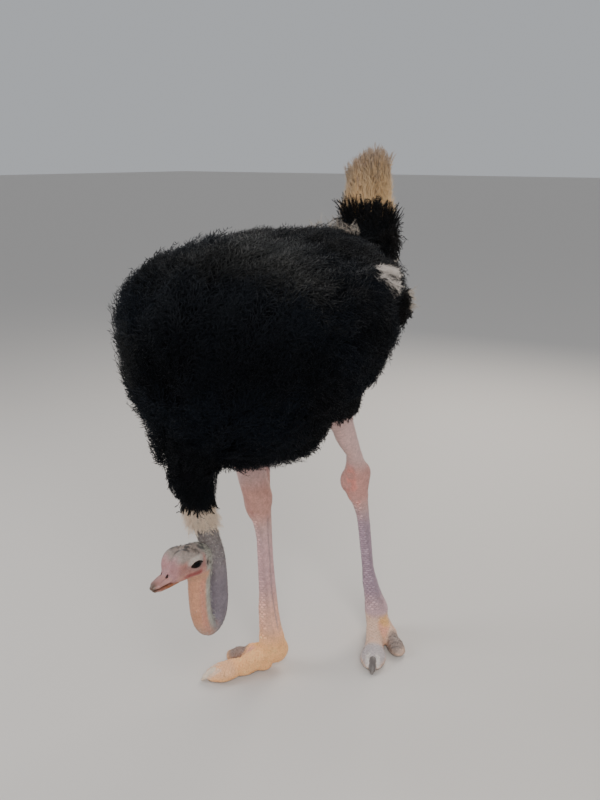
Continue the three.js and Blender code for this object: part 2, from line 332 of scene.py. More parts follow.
corners = np.array([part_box(name) for name in PLUMED])
room_low = corners[:, 0].min(0) - 5 * BODY_STEP
room_high = corners[:, 1].max(0) + 5 * BODY_STEP
body = Clay(*[marks(a, (b, BODY_STEP)) for a, b in zip(room_low, room_high)])
crossings = np.stack(np.meshgrid(*body.lines, indexing="ij"), -1).reshape(-1, 3).tolist()
solids_tree = tree_of([solid(name) for name in PLUMED])
to_solid = np.array([solids_tree.find_nearest(point)[3] for point in crossings], np.float32)
to_solid = to_solid.reshape(body.far.shape)
outside = outside_of(to_solid < CLOSING)
body.far = np.where(outside, to_solid, -to_solid) - CLOSING
outer_points, outer_quads = body.skin()
outer_tree = tree_of([(outer_points.tolist(), outer_quads.tolist())])
nearest = [outer_tree.find_nearest(point) for point in crossings]
away = np.array(crossings) - np.array([hit[0] for hit in nearest])
side = np.sign((away * np.array([hit[1] for hit in nearest])).sum(1))
reach = (np.linalg.norm(away, axis=1) * side).reshape(body.far.shape).astype(np.float32) + CLOSING


def ease(value, start, end):
    """0 at start, 1 at end, and smooth between."""
    share = np.clip((value - start) / (end - start), 0, 1)
    return share * share * (3 - 2 * share)


at_x, at_y, at_z = (np.array(crossings, np.float32) - (0, ahead, 0)).T
drawn_in = 0.030 * ease(at_z, 1.00, 0.93) * ease(at_z, 0.765, 0.815)
drawn_in *= ease(np.abs(at_x), 0.10, 0.18) * ease(at_y, -0.34, -0.18)
drawn_in += 0.012 * ease(at_z, 0.760, 0.725) * ease(at_y, -0.40, -0.45)
let_out = 0.016 * ease(at_z, 0.95, 0.89) * ease(at_z, 0.765, 0.810) * ease(at_y, -0.38, -0.44)
reach += (drawn_in - let_out).astype(np.float32).reshape(reach.shape)


def plume_depth(points):
    """How far under the plumes' tips the skin lies, thinner down the neck's base."""
    on_neck = ease(points[..., 2], 0.88, 0.72) * ease(points[..., 1] - ahead, -0.28, -0.34)
    return PLUME_DEPTH + (NECK_PLUME_DEPTH - PLUME_DEPTH) * on_neck


body.far = reach + plume_depth(np.array(crossings, np.float32)).reshape(reach.shape)
body_points, body_quads = body.skin()

# The head's block and the neck's: in the head's own frame the eyes' midpoint is the origin, -Y runs along the
# bill and +Z to the crown.
EYES = spot((0.049, -0.503, 0.593))[0]
HEAD_TURN = np.array(Euler([math.radians(a) for a in (-1, -3, -2)], "YXZ").to_matrix(), np.float32)
NECK_ROUTE = spot(
    (0.000, -0.400, 0.800),
    (0.006, -0.410, 0.700),
    (0.028, -0.405, 0.628),
    (0.044, -0.396, 0.560),
    (0.048, -0.389, 0.480),
    (0.050, -0.392, 0.412),
    (0.051, -0.406, 0.376),
    (0.051, -0.429, 0.362),
    (0.051, -0.450, 0.379),
    (0.051, -0.463, 0.420),
    (0.051, -0.467, 0.480),
    (0.050, -0.462, 0.552),
    (0.050, -0.458, 0.580),
)
EYE_HALF = (0.0152, 0.0196, 0.0170)
EYE_PLACE = (0.0292, -0.002, 0.0)
EYE_FORWARD = 14
LID = 0.0024
LID_LENGTH, LID_HEIGHT, LID_DROOP = 0.0175, 0.0088, -0.0008
LID_SLANT = math.radians(9)
LID_ROUND = (LID_LENGTH**2 + LID_HEIGHT**2) / (2 * LID_HEIGHT)
EAR = (0.0300, 0.0400, -0.0130)
NOSTRIL = (0.0108, -0.0790, -0.0125)


def on_head(*places):
    """Places in the head's own frame, as points of the frame."""
    return np.array(places, np.float32).reshape(-1, 3) @ HEAD_TURN.T + EYES


def head_eggs(centre, half, tilt):
    """An egg on the head's middle line, or a pair of them beside it, tilted by so many degrees."""
    x, y, z = centre
    own = np.array(Euler((math.radians(tilt), 0, 0)).to_matrix(), np.float32)
    return [egg(on_head((out * x, y, z))[0], half, HEAD_TURN @ own) for out in ((1, -1) if x else (1,))]


def mirrored(make):
    """What `make` gives for the left side and for the right."""
    return [make(1), make(-1)]


FACE_STEP = 0.0016
NECK_STEP = 0.0042
head_clay = Clay(
    marks(-0.075, (EYES[0] - 0.052, 0.003), (EYES[0] + 0.052, FACE_STEP), (0.125, 0.003)),
    marks(EYES[1] - 0.106, (EYES[1] + 0.062, FACE_STEP), (ahead - 0.300, 0.003)),
    marks(0.320, (EYES[2] - 0.062, NECK_STEP), (EYES[2] + 0.054, FACE_STEP), (0.86, NECK_STEP)),
)
head_clay.press(
    limb(
        NECK_ROUTE,
        [(0, 0.034, 0.034), (0.14, 0.031, 0.032), (0.3, 0.028, 0.029), (0.5, 0.0245, 0.0270)]
        + [(0.65, 0.0245, 0.0275), (0.8, 0.0255, 0.0305), (1, 0.028, 0.033)],
        steps=64,
    )
)
# Nape, skull, forehead, crown, muzzle, bill's root, jaw, throat, cheeks and temples: each one's middle, half
# sizes, tilt, and the fillet that joins it on.
for centre, half, tilt, fillet in (
    ((0, 0.022, -0.002), (0.0355, 0.041, 0.0375), 0, 0.022),
    ((0, -0.003, 0.008), (0.0340, 0.037, 0.0300), 0, 0.014),
    ((0.0175, -0.0360, 0.0070), (0.0180, 0.0340, 0.0220), 0, 0.012),
    ((0.0170, -0.0300, 0.0215), (0.0180, 0.0300, 0.0195), 0, 0.012),
    ((0, -0.037, -0.008), (0.0280, 0.040, 0.0250), 8, 0.016),
    ((0, -0.060, -0.0200), (0.0232, 0.030, 0.0165), 6, 0.012),
    ((0, -0.012, -0.0300), (0.0265, 0.050, 0.0150), 2, 0.016),
    ((0, 0.026, -0.034), (0.026, 0.030, 0.024), 0, 0.026),
    ((0.0195, 0.006, -0.0205), (0.0150, 0.034, 0.0135), 0, 0.012),
    ((0.0225, -0.003, 0.003), (0.0180, 0.028, 0.0250), 0, 0.010),
):
    head_clay.press(head_eggs(centre, half, tilt), fillet)


def eye_turn(out):
    """The eye's own axes in the head's frame: its X looks out of the head and a little ahead."""
    own = np.array(Euler((0, 0, math.radians(-out * EYE_FORWARD))).to_matrix(), np.float32)
    return HEAD_TURN @ own


def eye_middle(out):
    return on_head((out * EYE_PLACE[0], *EYE_PLACE[1:]))[0]


def eyeball(out, more):
    return egg(eye_middle(out), np.array(EYE_HALF) + more, eye_turn(out))


def lid_opening(out):
    """What the lids leave bare: an almond, lower at its front and pulled down by the heavy upper lid."""
    centre = eye_middle(out).astype(np.float32)
    turn = eye_turn(out)
    behind = eyeball(out, -0.0016)[0]

    def distance(points):
        at = (points - centre) @ turn
        along = at[..., 1] * math.cos(LID_SLANT) + at[..., 2] * math.sin(LID_SLANT)
        up = at[..., 2] * math.cos(LID_SLANT) - at[..., 1] * math.sin(LID_SLANT) + LID_DROOP
        almond = np.hypot(along, np.abs(up) + LID_ROUND - LID_HEIGHT) - LID_ROUND
        inward = 0.004 - at[..., 0] * out
        return np.maximum(np.maximum(almond, inward), -behind(points))

    return distance, centre - 0.024, centre + 0.024


head_clay.press(mirrored(lambda out: eyeball(out, LID)), 0.0035)
head_clay.press(head_eggs((0.0285, -0.007, 0.0170), (0.0110, 0.024, 0.0090), -5), 0.009)
head_clay.carve(mirrored(lid_opening), 0.0010)
head_clay.press(head_eggs(EAR, (0.0035, 0.0085, 0.0100), -20), 0.004)
head_clay.carve(head_eggs(EAR, (0.0090, 0.0038, 0.0056), -20), 0.003)
GAPE = (
    (0.0195, -0.070, -0.0330),
    (0.0258, -0.045, -0.0302),
    (0.0322, -0.015, -0.0280),
    (0.0352, 0.011, -0.0275),
)


def gape(out):
    """The corner of the mouth, a fold that runs back from the bill to under the eye."""
    places = on_head(*[(out * x, y, z) for x, y, z in GAPE])
    return limb(places, [(0, 0.0022, 0.0022), (0.7, 0.0020, 0.0020), (1, 0.0010, 0.0010)], steps=8)


def nostril(out):
    own = np.array(Euler([math.radians(a) for a in (-14, 0, out * 10)]).to_matrix(), np.float32)
    return egg(on_head((out * NOSTRIL[0], *NOSTRIL[1:]))[0], (0.0021, 0.0068, 0.0052), HEAD_TURN @ own)


head_clay.carve(gape(1) + gape(-1), 0.0022)
head_clay.carve(mirrored(nostril), 0.0012)
head_points, head_quads = head_clay.skin()

# A leg's block: thigh and drumstick, the knobbly hock, a shank with its tendon standing clear behind it, and
# two toes with soft pads, the soles pressed flat on the floor.
LEGS = {
    "left": {"out": 1, "knee": (0.165, -0.030, 1.000), "hock": (0.080, 0.245, 0.573)}
    | {"toe_joint": (0.155, 0.282, 0.104), "toes_out": 29, "bow": 0.007, "lean": 0.018}
    | {"thigh": ((0, 0.074, 0.098), (0.45, 0.030, 0.039), (0.80, 0.0205, 0.0215), (1, 0.033, 0.035))},
    "right": {"out": -1, "knee": (-0.120, -0.120, 1.000), "hock": (-0.114, -0.022, 0.555)}
    | {"toe_joint": (-0.017, -0.080, 0.106), "toes_out": 34, "bow": 0.005, "lean": -0.006}
    | {"thigh": ((0, 0.074, 0.098), (0.45, 0.054, 0.074), (0.78, 0.0380, 0.0510), (1, 0.041, 0.048))},
}
for leg in LEGS.values():
    leg["knee"], leg["hock"], leg["toe_joint"] = spot(leg["knee"], leg["hock"], leg["toe_joint"])
    angle = math.radians(leg["out"] * leg["toes_out"])
    leg["turn"] = np.array(Euler((0, 0, angle)).to_matrix())
    leg["half_turn"] = np.array(Euler((0, 0, angle / 2)).to_matrix())


def on_foot(leg, *places):
    """Places in a foot's own frame, on the floor under the toe joint with the main toe towards -Y."""
    sides = np.array(places, float).reshape(-1, 3) * (leg["out"], 1, 1)
    return sides @ leg["turn"].T + (*leg["toe_joint"][:2], 0)


LEAN_WAY = np.array((0.8, 0.6, 0))
NAIL_FOLD = ((0.0090, -0.166, 0.0330), (0.0165, -0.190, 0.0275), (0.0150, -0.214, 0.0165))


def leg_skin(leg):
    knee, hock, toe_joint = leg["knee"], leg["hock"], leg["toe_joint"]
    foot_room = on_foot(leg, *[(x, y, 0) for x in (-0.07, 0.13) for y in (-0.25, 0.08)])
    reach = np.vstack([knee - 0.1, knee + 0.1, hock - 0.06, hock + 0.06, foot_room])
    low, high = reach.min(0), reach.max(0)
    step = 0.0037
    clay = Clay(
        marks(low[0], (high[0], step)),
        marks(low[1], (high[1], step)),
        marks(-0.0055, (0.135, step), (hock[2] - 0.07, 0.0063), (hock[2] + 0.07, 0.0044), (1.13, 0.0090)),
    )
    across, half_across = leg["turn"][:, 0], leg["half_turn"][:, 0]
    rear, half_rear = leg["turn"][:, 1], leg["half_turn"][:, 1]
    shank_sizes = [(0, 0.038, 0.037), (0.07, 0.037, 0.038), (0.16, 0.026, 0.028), (0.27, 0.0205, 0.022)]
    shank_sizes += [(0.66, 0.0190, 0.0220), (0.82, 0.026, 0.030), (0.95, 0.033, 0.035), (1, 0.034, 0.036)]
    bow, lean = LEAN_WAY * leg["bow"], LEAN_WAY * leg["lean"]
    low_thigh = hock + 0.26 * (knee - hock) + lean
    clay.press(limb([knee, (knee + hock) / 2 + 0.3 * lean, low_thigh, hock], leg["thigh"]))
    shank = [hock + (toe_joint - hock) * share for share in (0, 0.25, 0.5, 0.75, 1)]
    shank[1], shank[3] = shank[1] + bow, shank[3] - bow
    clay.press(limb(shank, shank_sizes, half_across, steps=18), 0.012)

    # The hock: a knuckle on each side, and the heel bone's cap behind. The left one also shows the heads of
    # its two bones.
    knobs = []
    for side in (-1, 1):
        knobs.append((hock + side * 0.0225 * half_across + (0, 0, 0.002), (0.0185, 0.0300, 0.0360), 0.014))
    knobs.append((hock + 0.018 * half_rear - (0, 0, 0.012), (0.024, 0.026, 0.050), 0.014))
    knobs.append((hock - 0.024 * half_rear - (0, 0, 0.020), (0.017, 0.018, 0.040), 0.016))
    if leg["out"] > 0:
        outer_head = hock + 0.026 * half_across + 0.010 * half_rear + (0, 0, 0.020)
        inner_head = hock - 0.027 * half_across - (0, 0, 0.008)
        knobs.append((outer_head, (0.0170, 0.0220, 0.0400), 0.016))
        knobs.append((inner_head, (0.0170, 0.0220, 0.0300), 0.016))
    for place, half, fillet in knobs:
        clay.press([egg(place, half, leg["half_turn"])], fillet)
    if leg["out"] > 0:
        outer_bone = [low_thigh + 0.008 * half_rear, outer_head + (0, 0, 0.010)]
        inner_bone = [low_thigh - 0.012 * half_across, inner_head + (0, 0, 0.012)]
        clay.press(limb(outer_bone, [(0, 0.016, 0.020), (1, 0.0175, 0.022)], steps=8), 0.018)
        clay.press(limb(inner_bone, [(0, 0.010, 0.014), (1, 0.013, 0.018)], steps=8), 0.018)

    # The tendon from the calf over the hock's cap and down behind the shank to the heel.
    behind = leg["thigh"][2][2] + 0.0105
    middle = (hock + toe_joint) / 2
    tendon = [
        knee + 0.45 * (hock - knee) + 0.044 * half_rear,
        hock + 0.24 * (knee - hock) + lean + behind * half_rear,
        hock + 0.034 * half_rear - (0, 0, 0.01),
        hock + (middle - hock) * 0.5 + bow + 0.0235 * half_rear,
        middle + 0.0245 * half_rear,
        toe_joint + (middle - toe_joint) * 0.35 - bow + 0.0280 * rear,
        toe_joint + 0.025 * rear - (0, 0, 0.004),
    ]
    tendon_sizes = [(0, 0.012, 0.016), (0.25, 0.0085, 0.0095), (0.42, 0.013, 0.010), (0.55, 0.0092, 0.0088)]
    tendon_sizes += [(0.85, 0.0095, 0.0088), (1, 0.016, 0.013)]
    clay.press(limb(tendon, tendon_sizes, half_across, steps=30), 0.0065)

    # The foot: toe joint and heel pad, then the two toes with their pads, knuckles and the web between them,
    # the main toe's nail fold, and the creases at its sides.
    def press_eggs(fillet, *rows):
        for x, y, z, *half in rows:
            clay.press([egg(on_foot(leg, (x, y, z))[0], half, leg["turn"])], fillet)

    press_eggs(0.020, (0, 0.000, 0.094, 0.0345, 0.0360, 0.046))
    press_eggs(0.018, (0, 0.015, 0.056, 0.0270, 0.0280, 0.036))
    main_toe = [(0, 0.020, 0.064), (0, -0.025, 0.054), (0, -0.075, 0.030), (0, -0.132, 0.022)]
    main_toe += [(0, -0.200, 0.016)]
    main_sizes = [(0, 0.031, 0.034), (0.25, 0.030, 0.035), (0.55, 0.0275, 0.027), (0.82, 0.0395, 0.0245)]
    main_sizes += [(1, 0.030, 0.016)]
    clay.press(limb(on_foot(leg, *main_toe), main_sizes, across, steps=20), 0.016)
    outer_toe = [(0.016, 0.008, 0.062), (0.040, -0.032, 0.044), (0.064, -0.078, 0.022)]
    outer_toe += [(0.084, -0.116, 0.017)]
    outer_sizes = [(0, 0.024, 0.028), (0.5, 0.0225, 0.0245), (0.86, 0.0250, 0.0200), (1, 0.0180, 0.0135)]
    clay.press(limb(on_foot(leg, *outer_toe), outer_sizes, across, steps=14), 0.012)
    press_eggs(
        0.007,
        (0, -0.168, 0.017, 0.0400, 0.042, 0.0215),
        (0, -0.092, 0.017, 0.0300, 0.034, 0.0200),
        (0, -0.030, 0.022, 0.0285, 0.030, 0.0210),
        (0.078, -0.104, 0.014, 0.0245, 0.026, 0.0180),
    )
    press_eggs(
        0.012,
        (0, -0.078, 0.045, 0.0215, 0.022, 0.0150),
        (0, -0.134, 0.034, 0.0240, 0.024, 0.0130),
        (0.052, -0.052, 0.046, 0.0170, 0.019, 0.0140),
        (0.072, -0.090, 0.030, 0.0180, 0.018, 0.0120),
    )
    press_eggs(0.016, (0.030, -0.046, 0.030, 0.026, 0.036, 0.020))
    for side in (-1, 1):
        rim = on_foot(leg, *[(side * x, y, z) for x, y, z in NAIL_FOLD])
        clay.press(limb(rim, [(0, 0.0050, 0.0050), (1, 0.0050, 0.0050)], across, steps=6), 0.006)
    for y in (-0.060, -0.124):
        for side in (-1, 1):
            crease = ((0.044, y, 0.004), (0.030, y + 0.004, 0.012), (0.020, y + 0.006, 0.004))
            line = on_foot(leg, *[(side * a, b, c) for a, b, c in crease])
            clay.carve(limb(line, [(0, 0.0024, 0.0024), (1, 0.0024, 0.0024)], across, steps=4), 0.005)
    above_floor = clay.lines[2][None, None, :]
    clay.far = -melt(-clay.far, np.broadcast_to(above_floor, clay.far.shape), 0.005)
    return clay.skin()


def piece(name, points, faces, *materials):
    mesh = bpy.data.meshes.new(name)
    mesh.from_pydata(np.asarray(points).tolist(), [], [list(map(int, face)) for face in faces])
    made = shown(name, mesh)
    mesh.polygons.foreach_set("use_smooth", [True] * len(mesh.polygons))
    for material in materials:
        mesh.materials.append(material)
    return made


def settled(made):
    """Applies a piece's modifiers."""
    bpy.context.view_layer.update()
    graph = bpy.context.evaluated_depsgraph_get()
    mesh = bpy.data.meshes.new_from_object(made.evaluated_get(graph))
    made.modifiers.clear()
    made.data = mesh
    mesh.name = made.name


skin = piece("skin", body_points, body_quads)
blocks = [piece("head_block", head_points, head_quads)]
blocks += [piece(f"{name}_leg_block", *leg_skin(leg)) for name, leg in LEGS.items()]
for block in blocks:
    join = skin.modifiers.new(block.name, "BOOLEAN")
    join.operation = "UNION"
    join.solver = "MANIFOLD"
    join.object = block
settled(skin)
for block in blocks:
    bpy.data.objects.remove(block)


# The hide's colours: black under the plumes, a grey neck with a pink throat, a mauve face, and pink legs that
# turn lilac down the shanks and cream on the toes. Soft blotches and folds run over all of it.
def read(values, points):
    """What the body block's crossings hold, between them."""
    whole, part = [], []
    for axis, line in enumerate(body.lines):
        at = np.interp(points[:, axis], line, np.arange(len(line)))
        whole.append(np.minimum(at.astype(int), len(line) - 2))
        part.append(at - whole[-1])
    total = 0
    for corner in np.ndindex(2, 2, 2):
        share = np.prod([p if c else 1 - p for p, c in zip(part, corner)], 0)
        found = values[tuple(w + c for w, c in zip(whole, corner))]
        total = total + (found * share if values.ndim == 3 else found * share[:, None])
    return total


def blotches(points, size):
    """Even noise from -1 to 1 over patches of about `size`."""
    return np.array([noise.noise(point) for point in (points / size).tolist()])


def to_line(points, line):
    """How far each point is from a line of points, and how far along it is, from 0 to 1."""
    far = np.full(len(points), 1e9)
    share = np.zeros(len(points))
    for i, knot in enumerate(line):
        here = np.linalg.norm(points - knot, axis=1)
        closer = here < far
        far[closer], share[closer] = here[closer], i / (len(line) - 1)
    return far, share


def blend(colours, colour, share):
    """Lays a colour over the others by its share at each point."""
    colours += (np.array(colour) - colours) * np.clip(share, 0, 1)[:, None]


def each_corner(made, what):
    """The places ("co") or the normals ("normal") of a piece's corners."""
    values = np.empty(len(made.data.vertices) * 3, np.float32)
    made.data.vertices.foreach_get(what, values)
    return values.reshape(-1, 3).astype(float)


def set_tint(mesh, colours):
    with_alpha = np.hstack([colours, np.ones((len(colours), 1))])
    layer = mesh.attributes.new("tint", "FLOAT_COLOR", "POINT")
    layer.data.foreach_set("color", with_alpha.astype(np.float32).ravel())


shell = bmesh.new()
shell.from_mesh(skin.data)
found = {shell.verts[:][0]}
edge_of_found = list(found)
while edge_of_found:
    corner = edge_of_found.pop()
    for edge in corner.link_edges:
        other = edge.other_vert(corner)
        if other not in found:
            found.add(other)
            edge_of_found.append(other)
crumbs = [corner for corner in shell.verts if corner not in found]
bmesh.ops.delete(shell, geom=crumbs, context="VERTS")
shell.to_mesh(skin.data)
shell.free()

points = each_corner(skin, "co")
x, y, z = points.T
covered = ease(read(reach, points), 0.006, -0.008)
front = (y - ahead < -0.315) & (z > 0.25)
coarse, fine = blotches(points, 0.035), blotches(points, 0.009)
colours = np.tile((0.58, 0.38, 0.34), (len(points), 1))
folds = np.zeros(len(points))

# Neck. `facing` is -1 at the nape and 1 at the throat, and `along_neck` runs from the body to the head.
NECK_HALF = 0.024
NECK_KNOTS = 150
neck_line = path(NECK_ROUTE, NECK_KNOTS)


def facing_on_neck(points, along):
    knots = (along * (NECK_KNOTS - 1)).astype(int)
    return (neck_line[knots] - points)[:, 1] / NECK_HALF


_, along_neck = to_line(points[front], neck_line)
at = (points[front] - EYES) @ HEAD_TURN
face = ease(at[:, 1], 0.062, 0.040) * ease(at[:, 2], -0.072, -0.050)
facing = np.clip(facing_on_neck(points[front], along_neck), -1, 1)
neck_tint = np.tile((0.180, 0.152, 0.145), (len(at), 1))
blend(neck_tint, (0.178, 0.148, 0.172), ease(along_neck, 0.25, 0.50))
rising = ease(along_neck, 0.62, 0.76)
blend(neck_tint, (0.400, 0.380, 0.320), rising * 0.9)
blend(neck_tint, (0.540, 0.258, 0.155), rising * ease(facing, -0.25, 0.35))
throat_side = ease(facing, -0.1, 0.4) * ease(facing, 1.0, 0.5)
blend(neck_tint, (0.520, 0.220, 0.170), rising * throat_side * 0.6)
collar_low, collar_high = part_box("neck_collar")
in_collar = ease(points[front, 2] + 0.010 * coarse[front], collar_low.z + 0.032, collar_low.z + 0.066)
in_collar *= (along_neck < 0.35) * ease(points[front, 2], collar_high.z + 0.010, collar_high.z)
blend(neck_tint, (0.500, 0.400, 0.310), in_collar * 0.9)
neck_tint *= (1 + 0.12 * coarse[front] + 0.10 * fine[front])[:, None]
run = along_neck * np.linalg.norm(np.diff(neck_line, axis=0), axis=1).sum()
rings = np.sin(2 * math.pi * run / 0.0105 + 2.4 * blotches(points[front], 0.03) + 1.2 * facing)
lengthways = np.sin(26 * facing + 3 * coarse[front])
neck_folds = (0.00055 * rings + 0.00030 * lengthways * rising) * (1 - face)

# Head, in its own frame.
out = np.abs(at[:, 0])
aside = np.stack([out, at[:, 1], at[:, 2]], 1)
face_tint = np.tile((0.350, 0.162, 0.137), (len(at), 1))
blend(face_tint, (0.305, 0.247, 0.216), ease(at[:, 2], 0.008, 0.024))
blend(face_tint, (0.400, 0.385, 0.330), ease(at[:, 1], 0.024, 0.044))
blend(face_tint, (0.500, 0.255, 0.205), ease(at[:, 2], -0.012, -0.026) * ease(at[:, 1], 0.040, 0.020))
blend(face_tint, (0.540, 0.280, 0.175), ease(at[:, 2], -0.032, -0.042))
blend(face_tint, (0.400, 0.205, 0.205), ease(at[:, 1], -0.045, -0.070))
crown_patch = ease(blotches(points[front], 0.013) + 0.35 * fine[front], -0.12, 0.22)
crown_patch *= ease(at[:, 2], 0.014, 0.023) * ease(at[:, 1], -0.050, -0.026) * ease(out, 0.030, 0.021)
blend(face_tint, (0.075, 0.070, 0.068), crown_patch * 0.88)
face_tint *= (1 + 0.10 * coarse[front] + 0.12 * fine[front])[:, None]
mouth_line = np.vstack([path(on_head(*[(o * a, b, c) for a, b, c in GAPE]), 40) for o in (1, -1)])
to_mouth, _ = to_line(points[front], mouth_line)
gape_red = ease(to_mouth, 0.0125, 0.0025) * 0.92 * ease(at[:, 1], -0.055, -0.020)
blend(face_tint, (0.250, 0.050, 0.047), gape_red)
blend(face_tint, (0.230, 0.065, 0.055), ease(to_mouth, 0.0024, 0.0010) * 0.7)
eye_frame = np.array(Euler((0, 0, math.radians(-EYE_FORWARD))).to_matrix())
from_eye = (aside - EYE_PLACE) @ eye_frame
lid_ring = np.hypot(from_eye[:, 1] / 0.0175, from_eye[:, 2] / 0.0100)
on_lids = ease(lid_ring, 1.9, 1.35) * (from_eye[:, 0] > 0)
blend(face_tint, (0.350, 0.255, 0.230), on_lids * (0.25 + 0.45 * ease(from_eye[:, 2], -0.004, 0.004)))
brow_ring = np.hypot(from_eye[:, 1] / 0.026, (from_eye[:, 2] - 0.011) / 0.0120)
brow = ease(brow_ring, 1.25, 0.75) * (from_eye[:, 0] > -0.004)
blend(face_tint, (0.450, 0.405, 0.355), brow * ease(from_eye[:, 2], 0.001, 0.006) * 0.80)
lid_folds = np.sin(2 * math.pi * (lid_ring - 1.0) * 4.2)
lid_folds *= ease(lid_ring, 2.0, 1.5) * ease(lid_ring, 1.05, 1.2)
single = points[front].astype(np.float32)
edge = np.maximum(*[np.abs(lid_opening(o)[0](single)) < 0.0011 for o in (1, -1)])
blend(face_tint, (0.090, 0.060, 0.055), edge * (lid_ring < 1.3) * (from_eye[:, 0] > 0) * 0.85)
ear_gap = np.linalg.norm((aside - EAR) / (0.009, 0.0050, 0.0070), axis=1)
blend(face_tint, (0.150, 0.120, 0.105), ease(ear_gap, 2.2, 0.9) * 0.8)
# Painted shade inside the ear's opening.
blend(face_tint, (0.055, 0.035, 0.030), ease(ear_gap, 0.9, 0.5))
nostril_gap = np.linalg.norm((aside - NOSTRIL) / (0.0030, 0.0075, 0.0058), axis=1)
# Painted shade inside the nostril.
blend(face_tint, (0.045, 0.025, 0.022), ease(nostril_gap, 1.1, 0.85))
head_folds = (0.00028 * lid_folds * (from_eye[:, 0] > 0) + 0.00030 * fine[front]) * face
blend_share = face[:, None]
colours[front] = neck_tint * (1 - blend_share) + face_tint * blend_share
folds[front] = neck_folds + head_folds

# Legs. Heights are where one colour gives way to the next, and the last three values are shares. The right
# leg's warm lower shank and orange foot, with their borders set higher, are partly painted sunlight, and its
# dark purple-grey knuckles are painted shadow on its outer toe.
LEG_COLOURS = {
    "left": {"hock": (0.520, 0.250, 0.210), "flush": (0.620, 0.215, 0.175), "shank": (0.405, 0.285, 0.345)}
    | {"low_shank": (0.560, 0.375, 0.395), "low_heights": (0.19, 0.13), "foot": (0.700, 0.470, 0.350)}
    | {"foot_heights": (0.108, 0.078), "knuckles": (0.215, 0.175, 0.160)}
    | {"grey_ball": 0.85, "nail_rim": 0.75, "grey_ribs": 0.55},
    "right": {"hock": (0.540, 0.270, 0.215), "flush": (0.430, 0.200, 0.170), "shank": (0.600, 0.360, 0.360)}
    | {"low_shank": (0.820, 0.450, 0.320), "low_heights": (0.30, 0.17), "foot": (0.950, 0.490, 0.215)}
    | {"foot_heights": (0.17, 0.09), "knuckles": (0.165, 0.140, 0.150)}
    | {"grey_ball": 0.2, "nail_rim": 0.4, "grey_ribs": 0.0},
}
BETWEEN_LEGS = 0.035
FOOT_TOP = 0.11
for side_name, leg in LEGS.items():
    own = LEG_COLOURS[side_name]
    on_side = ~front & ((x > BETWEEN_LEGS) == (leg["out"] > 0))
    here = points[on_side]
    height = here[:, 2]
    hock, toe_joint = leg["hock"], leg["toe_joint"]
    drop = hock[2] - height
    axis = hock + (toe_joint - hock) * np.clip(drop / (hock[2] - toe_joint[2]), 0, 1)[:, None]
    forward = -((here - axis) @ leg["half_turn"][:, 1])
    sideways = np.abs((here - axis) @ leg["half_turn"][:, 0])
    tint = np.tile((0.600, 0.385, 0.360), (len(here), 1))
    patchy = blotches(here, 0.028) + 0.5 * blotches(here * (1, 1, 0.5), 0.010)
    blend(tint, own["hock"], ease(np.abs(drop), 0.11, 0.03) * 0.9)
    flush = ease(patchy, -0.15, 0.45) * ease(forward, 0.004, 0.025) * ease(sideways, 0.026, 0.012)
    blend(tint, own["flush"], flush * ease(np.abs(drop), 0.11, 0.04) * 0.75)
    blend(tint, own["shank"], ease(drop, 0.07, 0.17))
    # On the right leg these warm lower colours are partly painted sunlight.
    blend(tint, own["low_shank"], ease(height, *own["low_heights"]))
    blend(tint, own["foot"], ease(height, *own["foot_heights"]))
    # Painted shade in the groove between the tendon and the back of the shank.
    groove = ease(forward, -0.0150, -0.0110) * ease(forward, -0.0040, -0.0090)
    groove *= ease(sideways, 0.006, 0.011) * ease(drop, 0.03, 0.08) * ease(height, 0.13, 0.17)
    blend(tint, (0.330, 0.230, 0.230), groove * 0.7)
    fronts = ease(forward, 0.004, 0.012) * ease(drop, 0.05, 0.10) * ease(height, 0.10, 0.14)
    tint *= (1 - 0.20 * fronts)[:, None]
    at = (here - (*toe_joint[:2], 0)) @ leg["turn"] * (leg["out"], 1, 1)
    web = ease(np.hypot((at[:, 0] - 0.029) / 0.021, (at[:, 1] + 0.045) / 0.042), 1.2, 0.6)
    web *= ease(at[:, 2], 0.105, 0.075)
    blend(tint, (0.800, 0.440, 0.150), web * 0.8)
    blend(tint, (0.740, 0.360, 0.280), web * ease(at[:, 1], -0.040, -0.058) * 0.8)
    toe_ball = ease(at[:, 1], -0.115, -0.145) * ease(at[:, 2], 0.012, 0.030) * (at[:, 2] < FOOT_TOP)
    blend(tint, (0.440, 0.410, 0.430), toe_ball * own["grey_ball"])
    # Grey on the outer toe's knuckles; on the right foot it is darker and purple, painted shadow.
    knuckle_grey_and_shadow = ease(np.hypot((at[:, 0] - 0.072) / 0.033, (at[:, 1] + 0.094) / 0.040), 1.15, 0.6)
    blend(tint, own["knuckles"], knuckle_grey_and_shadow * (at[:, 2] < FOOT_TOP) * 0.85)
    aside = np.abs(at[:, 0])
    nail_rim = ease(aside, 0.006, 0.012) * ease(aside, 0.027, 0.020) * ease(at[:, 1], -0.168, -0.182)
    blend(tint, (0.720, 0.650, 0.600), nail_rim * ease(at[:, 2], 0.010, 0.018) * own["nail_rim"])
    blend(tint, (0.430, 0.380, 0.350), ease(height, 0.014, 0.002) * 0.6)
    tint *= (1 + 0.10 * patchy + 0.10 * fine[on_side])[:, None]
    wrinkles = np.sin(2 * math.pi * drop / 0.0095 + 2.5 * coarse[on_side]) * ease(np.abs(drop), 0.10, 0.045)
    ribs = np.sin(2 * math.pi * at[:, 1] / 0.0125 + 1.2 * coarse[on_side]) * ease(height, 0.10, 0.06)
    ribs *= ease(height, 0.006, 0.014)
    blend(tint, (0.090, 0.075, 0.070), knuckle_grey_and_shadow * ease(-ribs, 0.35, 0.95) * own["grey_ribs"])
    colours[on_side] = tint
    folds[on_side] = 0.00055 * wrinkles + 0.00045 * ribs
    folds[on_side] += 0.00045 * fine[on_side] * ease(height, 0.0, 0.01)

